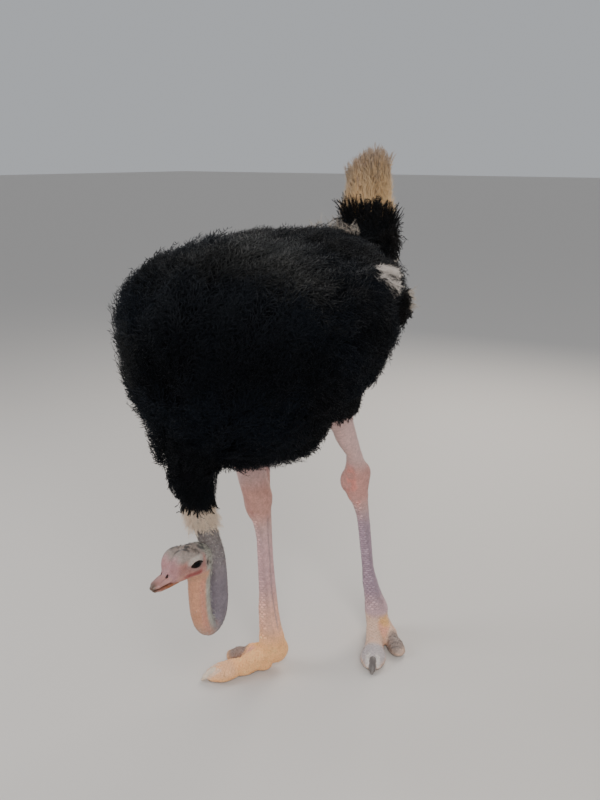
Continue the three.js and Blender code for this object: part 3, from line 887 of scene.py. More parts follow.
colours = np.clip(colours, 0.004, 0.95)
blend(colours, (0.0050, 0.0050, 0.0058), covered)
moved_points = points + each_corner(skin, "normal") * (folds * (1 - covered))[:, None]
moved_points[:, 2] = np.where(z > 0.0005, np.maximum(moved_points[:, 2], 0.0), z)
skin.data.vertices.foreach_set("co", moved_points.astype(np.float32).ravel())
skin.data.update()
colours_on_skin = colours
set_tint(skin.data, colours)
scaly = skin.data.attributes.new("scaly", "FLOAT", "POINT")
scaly.data.foreach_set("value", np.where(front, 0.25, ease(z, 0.70, 0.45)).astype(np.float32))

hide, shader = paint("hide", (0.5, 0.4, 0.4), 0.52, Specular_IOR_Level=0.42, Subsurface_Weight=0.08,
                     Subsurface_Radius=(0.012, 0.005, 0.003), Subsurface_Scale=1.0)
nodes, links = hide.node_tree.nodes, hide.node_tree.links


def node(kind, settings=(), **inputs):
    made = nodes.new(kind)
    for name, value in dict(settings).items():
        setattr(made, name, value)
    for name, value in inputs.items():
        socket = made.inputs[name.replace("_", " ")]
        if isinstance(value, bpy.types.NodeSocket):
            links.new(value, socket)
        else:
            socket.default_value = value
    return made


def sums(operation, *values):
    """A maths node's result for up to three inputs, each a socket or a number."""
    made = node("ShaderNodeMath", {"operation": operation})
    for socket, value in zip(made.inputs, values):
        if isinstance(value, bpy.types.NodeSocket):
            links.new(value, socket)
        else:
            socket.default_value = value
    return made.outputs["Value"]


place = node("ShaderNodeTexCoord").outputs["Object"]
tint_node = node("ShaderNodeAttribute", {"attribute_name": "tint"})
scaly_node = node("ShaderNodeAttribute", {"attribute_name": "scaly"})
pores = node("ShaderNodeTexNoise", Vector=place, Scale=420.0, Detail=4.0, Roughness=0.6)
creases = node("ShaderNodeTexNoise", Vector=place, Scale=95.0, Detail=5.0, Roughness=0.62, Distortion=0.8)
scales = node("ShaderNodeTexVoronoi", {"feature": "DISTANCE_TO_EDGE"}, Vector=place, Scale=240.0)
seams = node("ShaderNodeMapRange", Value=scales.outputs["Distance"], From_Max=0.18).outputs["Result"]
plates = sums("MULTIPLY", seams, scaly_node.outputs["Fac"])
height = sums("MULTIPLY_ADD", creases.outputs["Fac"], 0.9, plates)
rough_height = sums("MULTIPLY_ADD", pores.outputs["Fac"], 0.35, height)
bump = node("ShaderNodeBump", Strength=0.55, Distance=0.0011, Height=rough_height)
links.new(bump.outputs["Normal"], shader.inputs["Normal"])
mottle = node("ShaderNodeMapRange", Value=creases.outputs["Fac"], From_Min=0.3, From_Max=0.7,
              To_Min=0.78, To_Max=1.18)
seam_shade = sums("MULTIPLY_ADD", seams, 0.22, 0.84)
shade = sums("MULTIPLY", mottle.outputs["Result"], seam_shade)
toned = node("ShaderNodeVectorMath", {"operation": "SCALE"}, Scale=shade)
links.new(tint_node.outputs["Color"], toned.inputs[0])
links.new(toned.outputs["Vector"], shader.inputs["Base Color"])
skin.data.materials.clear()
skin.data.materials.append(hide)
skin.data.materials.append(paint("black_down", (0.003, 0.003, 0.004), 0.9, Specular_IOR_Level=0.05)[0])
for face in skin.data.polygons:
    face.material_index = int(covered[list(face.vertices)].min() > 0.6)
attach(skin, "root")
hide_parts(*PLUMED, "neck_collar", "neck", "head",
            *[f"{part}_{name}" for part in ("drumstick", "shank", "toe_main", "toe_outer") for name in LEGS])

# ---- Eyes ---------------------------------------------------------------------------------------------
# Large dark glass eyes, eggs with a clear bulge over the iris. The brow's lid hides their top, and a row of
# stiff lashes hangs from its edge.
def ball(centre, half, turn, bulge):
    """A closed ball's points and faces, each point's angle from its first axis, and the angle round that."""
    rings, sectors = 26, 40
    tilt = np.repeat(np.linspace(0, math.pi, rings + 1)[1:-1], sectors)
    round_it = np.tile(np.arange(sectors) * 2 * math.pi / sectors, rings - 1)
    way = np.stack([np.cos(tilt), np.sin(tilt) * np.cos(round_it), np.sin(tilt) * np.sin(round_it)], 1)
    way = np.vstack([way, (1, 0, 0), (-1, 0, 0)])
    tilt = np.append(tilt, (0, math.pi))
    points = way * half * (1 + bulge * np.exp(-((tilt / 0.5) ** 2)))[:, None]
    faces = []
    first, last = len(way) - 2, len(way) - 1
    for sector in range(sectors):
        after = (sector + 1) % sectors
        faces.append((first, sector, after))
        for ring in range(rings - 2):
            a, b = ring * sectors + sector, ring * sectors + after
            faces.append((a, a + sectors, b + sectors, b))
        low = (rings - 2) * sectors
        faces.append((low + sector, last, low + after))
    return points @ np.asarray(turn).T + centre, faces, tilt, round_it


eye_glass = tinted("eye_glass", 0.15, Specular_IOR_Level=0.05, Coat_Weight=0.07, Coat_Roughness=0.02)
SIDES = (("left", 1), ("right", -1))
for side_name, out_of in SIDES:
    turn = eye_turn(out_of) * (out_of, 1, out_of)
    points, faces, tilt, round_it = ball(eye_middle(out_of), EYE_HALF, turn, 0.055)
    colours = np.tile((0.018, 0.009, 0.006), (len(points), 1))
    streaks = 0.75 + 0.25 * np.sin(np.append(round_it, (0, 0)) * 14)
    iris = ease(tilt, 0.78, 0.70)
    blend(colours, (0.024, 0.010, 0.005), iris)
    colours *= (1 - iris * (1 - streaks))[:, None]
    blend(colours, (0.0025, 0.0025, 0.0030), ease(tilt, 0.42, 0.36))
    eye = piece(f"eye_{side_name}_glass", points, faces, eye_glass)
    set_tint(eye.data, colours)
    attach(eye, "root")
    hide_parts(f"eye_{side_name}")

# ---- Bill ---------------------------------------------------------------------------------------------
# Horn in two halves: the upper one broad and flat, ridged down its middle and with a nail at its tip, the
# lower one a shallow tray that closes under it. Both go into the face under the skin.
BILL_STEP = 0.0011


def horn_block(corners, step=BILL_STEP):
    return Clay(*[marks(a, (b, step)) for a, b in zip(corners.min(0), corners.max(0))])


bill_room = [(x, y, z) for x in (-0.026, 0.026) for y in (-0.135, -0.028) for z in (-0.052, 0.006)]
upper = horn_block(on_head(*bill_room))
lower = horn_block(on_head(*bill_room))
upper_line = on_head((0, -0.048, -0.0160), (0, -0.080, -0.0215), (0, -0.108, -0.0262), (0, -0.1225, -0.0315))
upper_sizes = [(0, 0.0210, 0.0120), (0.45, 0.0212, 0.0103), (0.8, 0.0178, 0.0074), (1, 0.0085, 0.0045)]
lower_line = on_head((0, -0.048, -0.0385), (0, -0.080, -0.0390), (0, -0.104, -0.0400), (0, -0.1175, -0.0405))
lower_sizes = [(0, 0.0185, 0.0050), (0.45, 0.0187, 0.0048), (0.8, 0.0158, 0.0043), (1, 0.0082, 0.0028)]
upper.press(limb(upper_line, upper_sizes, HEAD_TURN[:, 0], steps=22))
ridge = on_head((0, -0.050, -0.0080), (0, -0.080, -0.0145), (0, -0.104, -0.0212), (0, -0.114, -0.0250))
upper.press(limb(ridge, [(0, 0.0062, 0.0042), (1, 0.0042, 0.0028)], HEAD_TURN[:, 0], steps=12), 0.006)
upper.press(head_eggs((0, -0.1165, -0.0285), (0.0082, 0.0105, 0.0062), 18), 0.003)
lower.press(limb(lower_line, lower_sizes, HEAD_TURN[:, 0], steps=22))
mouth_sizes = [(share, half + 0.0006, deep + 0.0006) for share, half, deep in upper_sizes]
lower.carve(limb(upper_line, mouth_sizes, HEAD_TURN[:, 0], steps=22))
NOSTRIL_GROOVE = ((0.0120, -0.070, -0.0115), (0.0125, -0.088, -0.0140), (0.0100, -0.104, -0.0178))
for out_of in (1, -1):
    groove = on_head(*[(out_of * x, y, z) for x, y, z in NOSTRIL_GROOVE])
    groove_sizes = [(0, 0.0016, 0.0016), (0.6, 0.0013, 0.0013), (1, 0.0007, 0.0007)]
    upper.carve(limb(groove, groove_sizes, steps=8), 0.0022)
upper.carve(mirrored(nostril), 0.0010)
horn = tinted("bill_horn", 0.40, Specular_IOR_Level=0.5, Subsurface_Weight=0.05,
              Subsurface_Radius=(0.006, 0.003, 0.002), Subsurface_Scale=1.0)
for name, clay in (("bill_upper", upper), ("bill_lower", lower)):
    points, quads = clay.skin()
    at = (points - EYES) @ HEAD_TURN
    colours = np.tile((0.470, 0.245, 0.220) if clay is upper else (0.290, 0.110, 0.050), (len(points), 1))
    spots = blotches(points, 0.006)
    blend(colours, (0.300, 0.190, 0.185), ease(spots + 0.5 * blotches(points, 0.015), 0.1, 0.6) * 0.45)
    blend(colours, (0.420, 0.200, 0.110), ease(at[:, 2], -0.026, -0.034) * (clay is upper) * 0.75)
    blend(colours, (0.300, 0.150, 0.130), ease(at[:, 1], -0.080, -0.112) * 0.6)
    nail = ease(at[:, 1], -0.104, -0.123) * ease(np.abs(at[:, 0]), 0.014, 0.007)
    blend(colours, (0.110, 0.065, 0.045), nail)
    # Painted shade inside the nostrils and down the grooves that lead to them.
    nostril_gap = np.linalg.norm((np.abs(at) - np.abs(NOSTRIL)) / (0.0034, 0.0080, 0.0060), axis=1)
    blend(colours, (0.070, 0.040, 0.036), ease(nostril_gap, 1.15, 0.8))
    in_groove = ease(np.abs(np.abs(at[:, 0]) - 0.0118), 0.0020, 0.0008) * ease(at[:, 1], -0.106, -0.100)
    in_groove = in_groove * (clay is upper) * ease(at[:, 2], -0.024, -0.020)
    blend(colours, (0.220, 0.130, 0.120), in_groove * 0.55)
    half = piece(f"{name}_horn", points, quads, horn)
    set_tint(half.data, np.clip(colours * (1 + 0.10 * spots)[:, None], 0.01, 0.9))
    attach(half, "root")
    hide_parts(name)

# ---- Claws and scales ---------------------------------------------------------------------------------
# A blunt horn nail caps each main toe. Plates like roof tiles run down the fronts of the shanks and over the
# toes, and small round scales pave the sides.
CLAW_STEP = 0.0013
CLAW_COLOURS = {
    "left": ((0.130, 0.112, 0.106), (0.300, 0.255, 0.230), (0.210, 0.180, 0.160)),
    # The right claw's pale cream is painted sunlight; the left keeps the horn's own dark grey.
    "right": ((0.700, 0.560, 0.430), (0.620, 0.520, 0.430), (0.500, 0.410, 0.320)),
}
claw_horn = tinted("claw_horn", 0.42, Specular_IOR_Level=0.45)
for side_name, leg in LEGS.items():
    turn = leg["turn"]
    claw_room = [(x, y, z) for x in (-0.024, 0.024) for y in (-0.250, -0.150) for z in (-0.004, 0.050)]
    clay = horn_block(on_foot(leg, *claw_room), CLAW_STEP)
    route = on_foot(leg, (0, -0.168, 0.0320), (0, -0.194, 0.0285), (0, -0.216, 0.0185), (0, -0.2330, 0.0062))
    sizes = [(0, 0.0080, 0.0050), (0.40, 0.0155, 0.0088), (0.75, 0.0130, 0.0080), (1, 0.0046, 0.0036)]
    clay.press(limb(route, sizes, turn[:, 0], steps=14))
    crest = route[:3] + (0, 0, 0.0046)
    clay.press(limb(crest, [(0, 0.0025, 0.0025), (1, 0.0040, 0.0042)], turn[:, 0], steps=8), 0.006)
    hollow = on_foot(leg, (0, -0.196, 0.0060), (0, -0.230, -0.0010))
    clay.carve(limb(hollow, [(0, 0.0075, 0.0050), (1, 0.0060, 0.0040)], turn[:, 0], steps=4), 0.004)
    points, quads = clay.skin()
    at = (points - (*leg["toe_joint"][:2], 0)) @ turn
    middle, rim, tip = CLAW_COLOURS[side_name]
    colours = np.tile(middle, (len(points), 1))
    blend(colours, rim, ease(np.abs(at[:, 0]), 0.0085, 0.0118) * 0.8)
    blend(colours, tip, ease(at[:, 1], -0.226, -0.238) * 0.7)
    colours *= (1 + 0.22 * blotches(points * (1, 1, 2.5), 0.006))[:, None]
    claw = piece(f"claw_{side_name}_horn", points, quads, claw_horn)
    set_tint(claw.data, colours)
    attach(claw, "root")
    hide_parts(f"claw_{side_name}")

skin_tree = tree_of([(moved_points.tolist(), [tuple(face.vertices) for face in skin.data.polygons])])
studding = bpy.data.node_groups.new("studding", "GeometryNodeTree")
for socket, kind, way in (("Geometry", "NodeSocketGeometry", "INPUT"), ("Segments", "NodeSocketInt", "INPUT"),
                          ("Rings", "NodeSocketInt", "INPUT"), ("Material", "NodeSocketMaterial", "INPUT"),
                          ("Geometry", "NodeSocketGeometry", "OUTPUT")):
    studding.interface.new_socket(socket, in_out=way, socket_type=kind)
nodes, links = studding.nodes, studding.links
given = node("NodeGroupInput").outputs
stud = node("GeometryNodeMeshUVSphere", Segments=given["Segments"], Rings=given["Rings"])
spread_out = node("GeometryNodeInstanceOnPoints", Points=given["Geometry"], Instance=stud.outputs["Mesh"])
for attribute, socket in (("turn", "Rotation"), ("size", "Scale")):
    named = node("GeometryNodeInputNamedAttribute", {"data_type": "FLOAT_VECTOR"}, Name=attribute)
    links.new(named.outputs["Attribute"], spread_out.inputs[socket])
real = node("GeometryNodeRealizeInstances", Geometry=spread_out.outputs["Instances"])
smooth = node("GeometryNodeSetShadeSmooth", Geometry=real.outputs["Geometry"])
finish = node("GeometryNodeSetMaterial", Geometry=smooth.outputs["Geometry"], Material=given["Material"])
node("NodeGroupOutput", Geometry=finish.outputs["Geometry"])


def studded(name, places, ways, sizes, tints, material, segments, rings):
    """Round studs on the skin. `ways` holds each one's across, along and outward directions."""
    holder = piece(name, places, [])
    turns = np.array([Matrix(np.column_stack(way).tolist()).to_euler() for way in ways])
    for attribute, values in (("turn", turns), ("size", sizes)):
        layer = holder.data.attributes.new(attribute, "FLOAT_VECTOR", "POINT")
        layer.data.foreach_set("vector", np.asarray(values, np.float32).ravel())
    set_tint(holder.data, tints)
    modifier = holder.modifiers.new("studding", "NODES")
    modifier.node_group = studding
    wanted = {"Segments": segments, "Rings": rings, "Material": material}
    for socket in studding.interface.items_tree:
        if socket.in_out == "INPUT" and socket.name in wanted:
            modifier[socket.identifier] = wanted[socket.name]
    settled(holder)
    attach(holder, "root")


def unit(vectors):
    return vectors / np.maximum(np.linalg.norm(vectors, axis=-1, keepdims=True), 1e-9)


def laid_flat(ways, out):
    """Directions without the part that leads away from the surface."""
    return ways - (ways * out).sum(1)[:, None] * out


chance = np.random.default_rng(7)
scale_horn = tinted("scale_horn", 0.46, Specular_IOR_Level=0.42)


def tree_of_points(points):
    tree = KDTree(len(points))
    for index, point in enumerate(points.tolist()):
        tree.insert(point, index)
    tree.balance()
    return tree


tint_tree = tree_of_points(moved_points)


def on_surface(place, aim):
    """Where a line that comes from outside `place` towards it, against `aim`, meets the skin."""
    return skin_tree.ray_cast(Vector(place + aim * 0.09), Vector(-aim), 0.09)


def tiles(name, rows):
    """Overlapping plates. A row has the limb's middle, its direction and up, angles, a size, and a paleness
    that is partly the plates' own and partly painted highlight.
    """
    places, ways, sizes, tints = [], [], [], []
    for middle, along, up, angles, size, paleness_and_highlight in rows:
        across = unit(np.cross(along, up))
        for angle in angles:
            aim = unit(up * math.cos(angle) + across * math.sin(angle))
            hit, normal, _, _ = on_surface(middle, aim)
            if hit is None:
                continue
            normal = unit(np.array(normal) + 0.16 * along)
            side = unit(np.cross(along, normal))
            hit = np.array(hit)
            places.append(hit)
            ways.append((side, np.cross(normal, side), normal))
            sizes.append(np.array(size) * chance.uniform(0.88, 1.10))
            tints.append(colours_on_skin[tint_tree.find(hit)[1]] * chance.uniform(1.0, paleness_and_highlight))
    studded(name, places, ways, sizes, np.clip(tints, 0, 0.95), scale_horn, 8, 4)


SHANK_ROWS = 52
TOE_TOPS = (
    (
        ((0, -0.020, 0.060), (0, -0.050, 0.042), (0, -0.090, 0.026), (0, -0.140, 0.014), (0, -0.182, 0.006)),
        0.0060,
    ),
    (((0.040, -0.032, 0.040), (0.064, -0.078, 0.020), (0.080, -0.108, 0.012)), 0.0056),
)
SCALE_GAP = 0.0053
for side_name, leg in LEGS.items():
    rows = []
    hock, toe_joint, front_way = leg["hock"], leg["toe_joint"], -leg["half_turn"][:, 1]
    shank_down = unit(toe_joint - hock)
    for i in range(SHANK_ROWS):
        share = 0.14 + 0.84 * i / SHANK_ROWS
        angles = np.radians((-26, 0, 26) if i % 2 else (-13, 13, 38))
        small = (0.0056 + 0.0010 * share, 0.0039, 0.0010 + 0.0004 * share)
        # The shank's plates are up to 1.55 times paler: partly their own horn, partly painted highlight.
        rows.append((hock + (toe_joint - hock) * share, shank_down, front_way, angles, small, 1.55))
    for toe, step in TOE_TOPS:
        route = on_foot(leg, *toe)
        total = np.linalg.norm(np.diff(route, axis=0), axis=1).sum()
        line = path(route, round(total / step))
        for i in range(len(line) - 1):
            along = unit(line[i + 1] - line[i])
            up = unit(np.array((0, 0, 1.0)) - along[2] * along)
            angles = np.radians(np.arange(5) * 25 - 50 + (6 if i % 2 else -6))
            rows.append((line[i], along, up, angles, (0.0056, 0.0036, 0.0010), 1.08))
    tiles(f"scutes_{side_name}", rows)

    # Small round scales between the plates and the sole.
    near_foot = np.flatnonzero(
        (moved_points[:, 2] > 0.009) & (moved_points[:, 2] < 0.135)
        & (np.linalg.norm(moved_points[:, :2] - toe_joint[:2], axis=1) < 0.215)
    )
    at = (moved_points[near_foot] - (*toe_joint[:2], 0)) @ leg["turn"] * (leg["out"], 1, 1)
    near_foot = near_foot[(at[:, 1] < 0.075) & (at[:, 1] > -0.188)]
    scale_tree = tree_of_points(moved_points[near_foot])
    taken = np.zeros(len(near_foot), bool)
    chosen = []
    for index in chance.permutation(len(near_foot)).tolist():
        if not taken[index]:
            chosen.append(near_foot[index])
            for _, other, _ in scale_tree.find_range(moved_points[near_foot[index]].tolist(), SCALE_GAP):
                taken[other] = True
    normal = each_corner(skin, "normal")[chosen]
    side = unit(np.cross(normal, chance.normal(size=normal.shape)))
    sizes = chance.uniform(0.85, 1.15, (len(chosen), 1)) * (0.0029, 0.0025, 0.0008)
    tints = colours_on_skin[chosen] * chance.uniform(0.96, 1.14, (len(chosen), 1))
    ways = np.stack([side, np.cross(normal, side), normal], 1)
    tints = np.clip(tints, 0, 0.95)
    studded(f"scales_{side_name}", moved_points[chosen], ways, sizes, tints, scale_horn, 6, 4)

# ---- Black plumage ------------------------------------------------------------------------------------
# A cock's body plumes are soft and loose: a thin shaft with long barbs that don't hook together, so that they
# part, curl and mat into wool. They root in the skin, rise to the coat's outer edge and lie over one another,
# back and down along the body, down the breast and the neck's base, and up round the tail.
reach_slope = np.stack(np.gradient(reach, *body.lines), -1)


def outward(points):
    return unit(read(reach_slope, points))


def wander(points, size, seed):
    """A soft random vector at each point, which changes over about `size` metres."""
    waves = np.random.default_rng(seed)
    total = np.zeros((len(points), 3))
    for _ in range(4):
        way = waves.normal(size=3)
        way *= 2 * math.pi / size / np.linalg.norm(way)
        total += np.sin(points @ way + waves.uniform(0, 6.28))[:, None] * unit(waves.normal(size=3))
    return total / 2


covert_low, covert_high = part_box("tail_coverts")
covert_middle = np.array((covert_low + covert_high) / 2)
neck_base_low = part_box("neck_base")[0].z


def lie_of_coat(points, mood=0.5):
    """Which way a plume runs from its root: mostly back and down. Where two ways part, each plume's mood
    decides which it takes."""
    _, y, z = points.T

    def taken(share):
        return ease(share + (mood - 0.5) * 0.8, 0.3, 0.7)[:, None]

    lie = np.tile((0.0, 0.75, -0.65), (len(points), 1))
    lie += taken(ease(y - ahead, -0.06, -0.40)) * ((0.0, 0.40, 0.85) - lie)
    lie += taken(ease(z, 1.12, 1.36)) * ((0.0, 1.0, -0.10) - lie)
    lie += taken(ease(z, 0.86, 0.76) * ease(y - ahead, -0.28, -0.34)) * ((0.0, 0.0, -1.0) - lie)
    round_tail = points - (covert_middle - (0, 0.05, 0.05))
    on_tail = ease(z, 1.27, 1.36) * ease(y, covert_middle[1] - 0.10, covert_middle[1] - 0.04)
    lie += taken(on_tail) * (unit(round_tail * (1, 1, 1.6)) + (0, 0.1, 0.35) - lie)
    out = outward(points)
    lie = laid_flat(lie, out)
    parting = 1 - np.minimum(np.linalg.norm(lie, axis=1, keepdims=True), 1)
    lie += (0.45 + parting) * wander(points, 0.14, 3) + (0.45 + 1.2 * parting) * wander(points, 0.035, 4)
    return unit(lie - (lie * out).sum(1)[:, None] * out * 0.9)


BODY_AXIS_HEIGHT = 1.10
NECK_AXIS = (0.02, -0.42)


def unwrapped(points):
    """The skin opened flat: the body cut along its belly, and beside it the neck cut along its throat."""
    x, y, z = points.T
    angle = np.arctan2(x, z - BODY_AXIS_HEIGHT) / (2 * math.pi) + 0.5
    along = (y - room_low[1]) / (room_high[1] - room_low[1])
    flat = np.stack([0.02 + 0.64 * angle, 0.02 + 0.96 * along], 1)
    on_neck = (z < 0.80) & (y < ahead - 0.30)
    neck_angle = np.arctan2(x - NECK_AXIS[0], y - ahead - NECK_AXIS[1]) / (2 * math.pi) + 0.5
    neck = np.stack([0.70 + 0.28 * neck_angle, 0.02 + 0.90 * np.clip(z / 0.9, 0, 1)], 1)
    return np.where(on_neck[:, None], neck, flat)


def joined(name, points, triangles, tint, flat, material):
    """One mesh of many small closed shapes, with their colours and the bake map."""
    mesh = bpy.data.meshes.new(name)
    mesh.vertices.add(len(points))
    mesh.vertices.foreach_set("co", points.astype(np.float32).ravel())
    mesh.loops.add(triangles.size)
    mesh.loops.foreach_set("vertex_index", triangles.astype(np.int32).ravel())
    mesh.polygons.add(len(triangles))
    mesh.polygons.foreach_set("loop_start", np.arange(0, triangles.size, 3, dtype=np.int32))
    mesh.update(calc_edges=True)
    mesh.polygons.foreach_set("use_smooth", np.ones(len(triangles), bool))
    set_tint(mesh, tint)
    chart = mesh.uv_layers.new(name="OFBake")
    chart.data.foreach_set("uv", flat[triangles.ravel()].astype(np.float32).ravel())
    mesh.materials.append(material)
    made = shown(name, mesh)
    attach(made, "root")
    return made


def spindles(start, middle, tip, width, out):
    """Thin bent slivers: five corners and six triangles each, pointed at both ends and widest at the bend."""
    along = unit(middle - start)
    wide = unit(np.cross(along, out))
    high = np.cross(wide, along)
    width = np.asarray(width)[..., None]
    ring = [middle + wide * width / 2, middle + high * width * 0.35, middle - wide * width / 2]
    points = np.stack([start, *ring, tip], -2)
    faces = np.array([(0, 1, 2), (0, 2, 3), (0, 3, 1), (4, 2, 1), (4, 3, 2), (4, 1, 3)])
    return points, faces


PATCH = 0.003


def plume_mesh(name, shafts, out, barb, colours, flat, material, barbs=7, spread=(0.55, 0.95), width=0.0026,
               curl=0.75, proud=0.009, shaft_width=0.0022, tuck=None, lengthways=0.0):
    """Plumes along given shafts (plumes, stations, 3). Barbs leave both sides of each shaft, bend once and
    end in a point. `barb` is their length, and `tuck` keeps them inside the coat's outer edge. `lengthways`
    is how far the colour follows the shaft rather than the barb."""
    count, stations = shafts.shape[:2]
    share = np.tile(np.linspace(0.16, 0.98, barbs), 2)
    side = np.repeat((-1.0, 1.0), barbs)
    at = share * (stations - 1)
    low = np.minimum(at.astype(int), stations - 2)
    part = (at - low)[None, :, None]
    base = shafts[:, low] * (1 - part) + shafts[:, low + 1] * part
    forward = unit(shafts[:, low + 1] - shafts[:, low])
    up = np.broadcast_to(out[:, None], base.shape)
    sideways = unit(np.cross(forward, up)) * side[:, None]
    angle = chance.uniform(*spread, (count, 2 * barbs)) * (1.1 - 0.45 * share)
    lift = chance.normal(0.10, 0.16, (count, 2 * barbs))
    way = forward * np.cos(angle)[..., None] + sideways * np.sin(angle)[..., None] + up * lift[..., None]
    way = unit(way)
    size = np.asarray(barb).reshape(-1, 1) * (0.55 + 0.45 * np.sin(math.pi * share**0.8))
    size = size * chance.uniform(0.7, 1.2, size.shape if size.shape[0] > 1 else (count, 2 * barbs))
    middle = base + way * size[..., None] * 0.45
    lock = chance.normal(0, curl, (count, 1, 3))
    bend = chance.normal(0, curl * 0.7, way.shape) + lock + forward * 0.25
    tip = middle + unit(way + bend) * size[..., None] * 0.55
    if tuck is not None:
        free = np.maximum(read(reach, shafts[:, -1]), 0)[:, None] * share**0.5
        middle = tuck(middle.reshape(-1, 3), proud * 0.3, free.ravel()).reshape(middle.shape)
        tip = tuck(tip.reshape(-1, 3), proud, free.ravel()).reshape(tip.shape)
    barb_points, barb_faces = spindles(base, middle, tip, np.full((count, 2 * barbs), width), up)

    # The shaft: pointed at its two ends, three-sided between.
    along = unit(shafts[:, 2] - shafts[:, 0])
    wide = unit(np.cross(along, out)) * shaft_width / 2
    high = out * shaft_width / 2
    rings = [np.stack([c + wide, c + high, c - wide], 1) for c in (shafts[:, 1], shafts[:, 2])]
    shaft_points = np.concatenate([shafts[:, :1], *rings, shafts[:, -1:]], 1)
    shaft_faces = [(0, 1, 2), (0, 2, 3), (0, 3, 1), (7, 5, 4), (7, 6, 5), (7, 4, 6)]
    for a, b in ((1, 2), (2, 3), (3, 1)):
        shaft_faces += [(a, a + 3, b + 3), (a, b + 3, b)]

    per_barb = 5
    each = 8 + per_barb * 2 * barbs
    points = np.concatenate([shaft_points, barb_points.reshape(count, -1, 3)], 1)
    offsets = 8 + per_barb * np.arange(2 * barbs)
    faces = np.vstack([shaft_faces, (barb_faces[None] + offsets[:, None, None]).reshape(-1, 3)])
    triangles = (faces[None] + each * np.arange(count)[:, None, None]).reshape(-1, 3)

    # Every corner's place inside its plume's patch: along the shaft, and out along the barb.
    patch_shaft = [(along_it, off) for along_it in (-0.2, 0.2) for off in (-0.03, 0, 0.03)]
    patch_shaft = [(-0.5, 0), *patch_shaft, (0.5, 0)]
    steps = np.array([(0, 0.03), (0.02, 0.25), (0.0, 0.27), (-0.02, 0.25), (0.03, 0.5)])
    patch_barbs = np.stack([steps * (1, s) + (u - 0.5, 0) for u, s in zip(share, side)]).reshape(-1, 2)
    patch = np.vstack([patch_shaft, patch_barbs]) * PATCH * 0.9
    charts = (flat[:, None] + patch[None]).reshape(-1, 2)

    root_tint, tip_tint = colours
    on_barbs = np.tile((0.1, 0.5, 0.5, 0.5, 1.0), 2 * barbs)
    on_barbs += (np.repeat(share, per_barb) ** 2 - on_barbs) * lengthways
    outer = np.concatenate([[0, 0.1, 0.1, 0.1, 0.4, 0.4, 0.4, 0.7], on_barbs])
    tint = root_tint[:, None] + (tip_tint - root_tint)[:, None] * outer[None, :, None]
    return joined(name, points.reshape(-1, 3), triangles, tint.reshape(-1, 3), charts, material)


def tucked(points, proud, free=0.0):
    """The points, with those too far out of the coat brought back to its edge and a little beyond. `free` is
    how far out their own shaft stands."""
    limit = chance.uniform(-0.005, 1, len(points)) * proud + free
    loose = points[:, 2] > np.interp(points[:, 1], (covert_low[1] - 0.02, covert_low[1] + 0.05), (9, 1.34))
    limit += loose * chance.uniform(0, 0.016, len(points))
    by_collar = points[:, 2] < neck_base_low + 0.02
    limit += 0.007 * ease(wander(points, 0.075, 11)[:, 1], 0.0, 0.6) + by_collar * 0.004
    limit += 0.008 * ease(wander(points, 0.026, 12)[:, 0], 0.3, 0.9)
    limit += (chance.random(len(points)) < 0.12) * chance.uniform(0.002, 0.012, len(points))
    beyond = np.maximum(read(reach, points) - limit, 0)
    return points - outward(points) * beyond[:, None]


STATIONS = 4


def laid_shafts(roots, length, tip_depth, mood):
    """Shafts that start under the skin and march over the body, rising to `tip_depth` under the edge."""
    line = [roots - outward(roots) * 0.002]
    root_depth = read(reach, roots)
    for step in range(1, STATIONS):
        here = line[-1] + lie_of_coat(line[-1], mood) * (length / (STATIONS - 1))[:, None]
        wanted = root_depth + (tip_depth - root_depth) * ease(step / (STATIONS - 1), -0.15, 1.0)
        line.append(here + outward(here) * (wanted - read(reach, here))[:, None])
    return np.stack(line, 1)


black_plume = tinted("black_plume", 0.60, Specular_IOR_Level=0.09, Sheen_Weight=0.02, Sheen_Roughness=0.45,
                     Sheen_Tint=(0.75, 0.82, 1.0, 1))


def rooted(points):
    """Which places are above the lower edge of the neck's base, which rises a little in front."""
    return points[:, 2] > neck_base_low + 0.004 + 0.026 * ease(points[:, 1] - ahead, -0.405, -0.455)


roots = body_points[chance.permutation(len(body_points))]
sidestep = unit(np.cross(outward(roots), chance.normal(size=roots.shape)))
roots = roots + sidestep * chance.uniform(0, 0.007, (len(roots), 1))
roots = roots[rooted(roots)]
DOUBLED = 800
roots = np.vstack([roots, roots[:DOUBLED] + chance.normal(0, 0.006, (DOUBLED, 3)) * (1, 1, 0.5)])


def shafts_from(roots):
    """Shafts for plumes at the roots, and the length of their barbs, shorter down the neck's base."""
    on_neck = ease(roots[:, 2], 0.92, 0.76) * ease(roots[:, 1] - ahead, -0.27, -0.33)
    length = chance.uniform(0.085, 0.125, len(roots)) * (1 - 0.40 * on_neck)
    barb_length = chance.uniform(0.032, 0.044, len(roots)) * (1 - 0.4 * on_neck)
    tip_depth = chance.uniform(-0.014, -0.001, len(roots))
    tip_depth = tip_depth - 0.010 * ease(wander(roots, 0.075, 11)[:, 1], 0.0, -0.6)
    strays = (chance.random(len(roots)) < 0.17) & (on_neck < 0.3)
    tip_depth += strays * chance.uniform(0.004, 0.015, len(roots)) + 0.007 * on_neck
    return laid_shafts(roots, length, tip_depth, chance.random(len(roots))), barb_length


shafts, barb_length = shafts_from(roots)

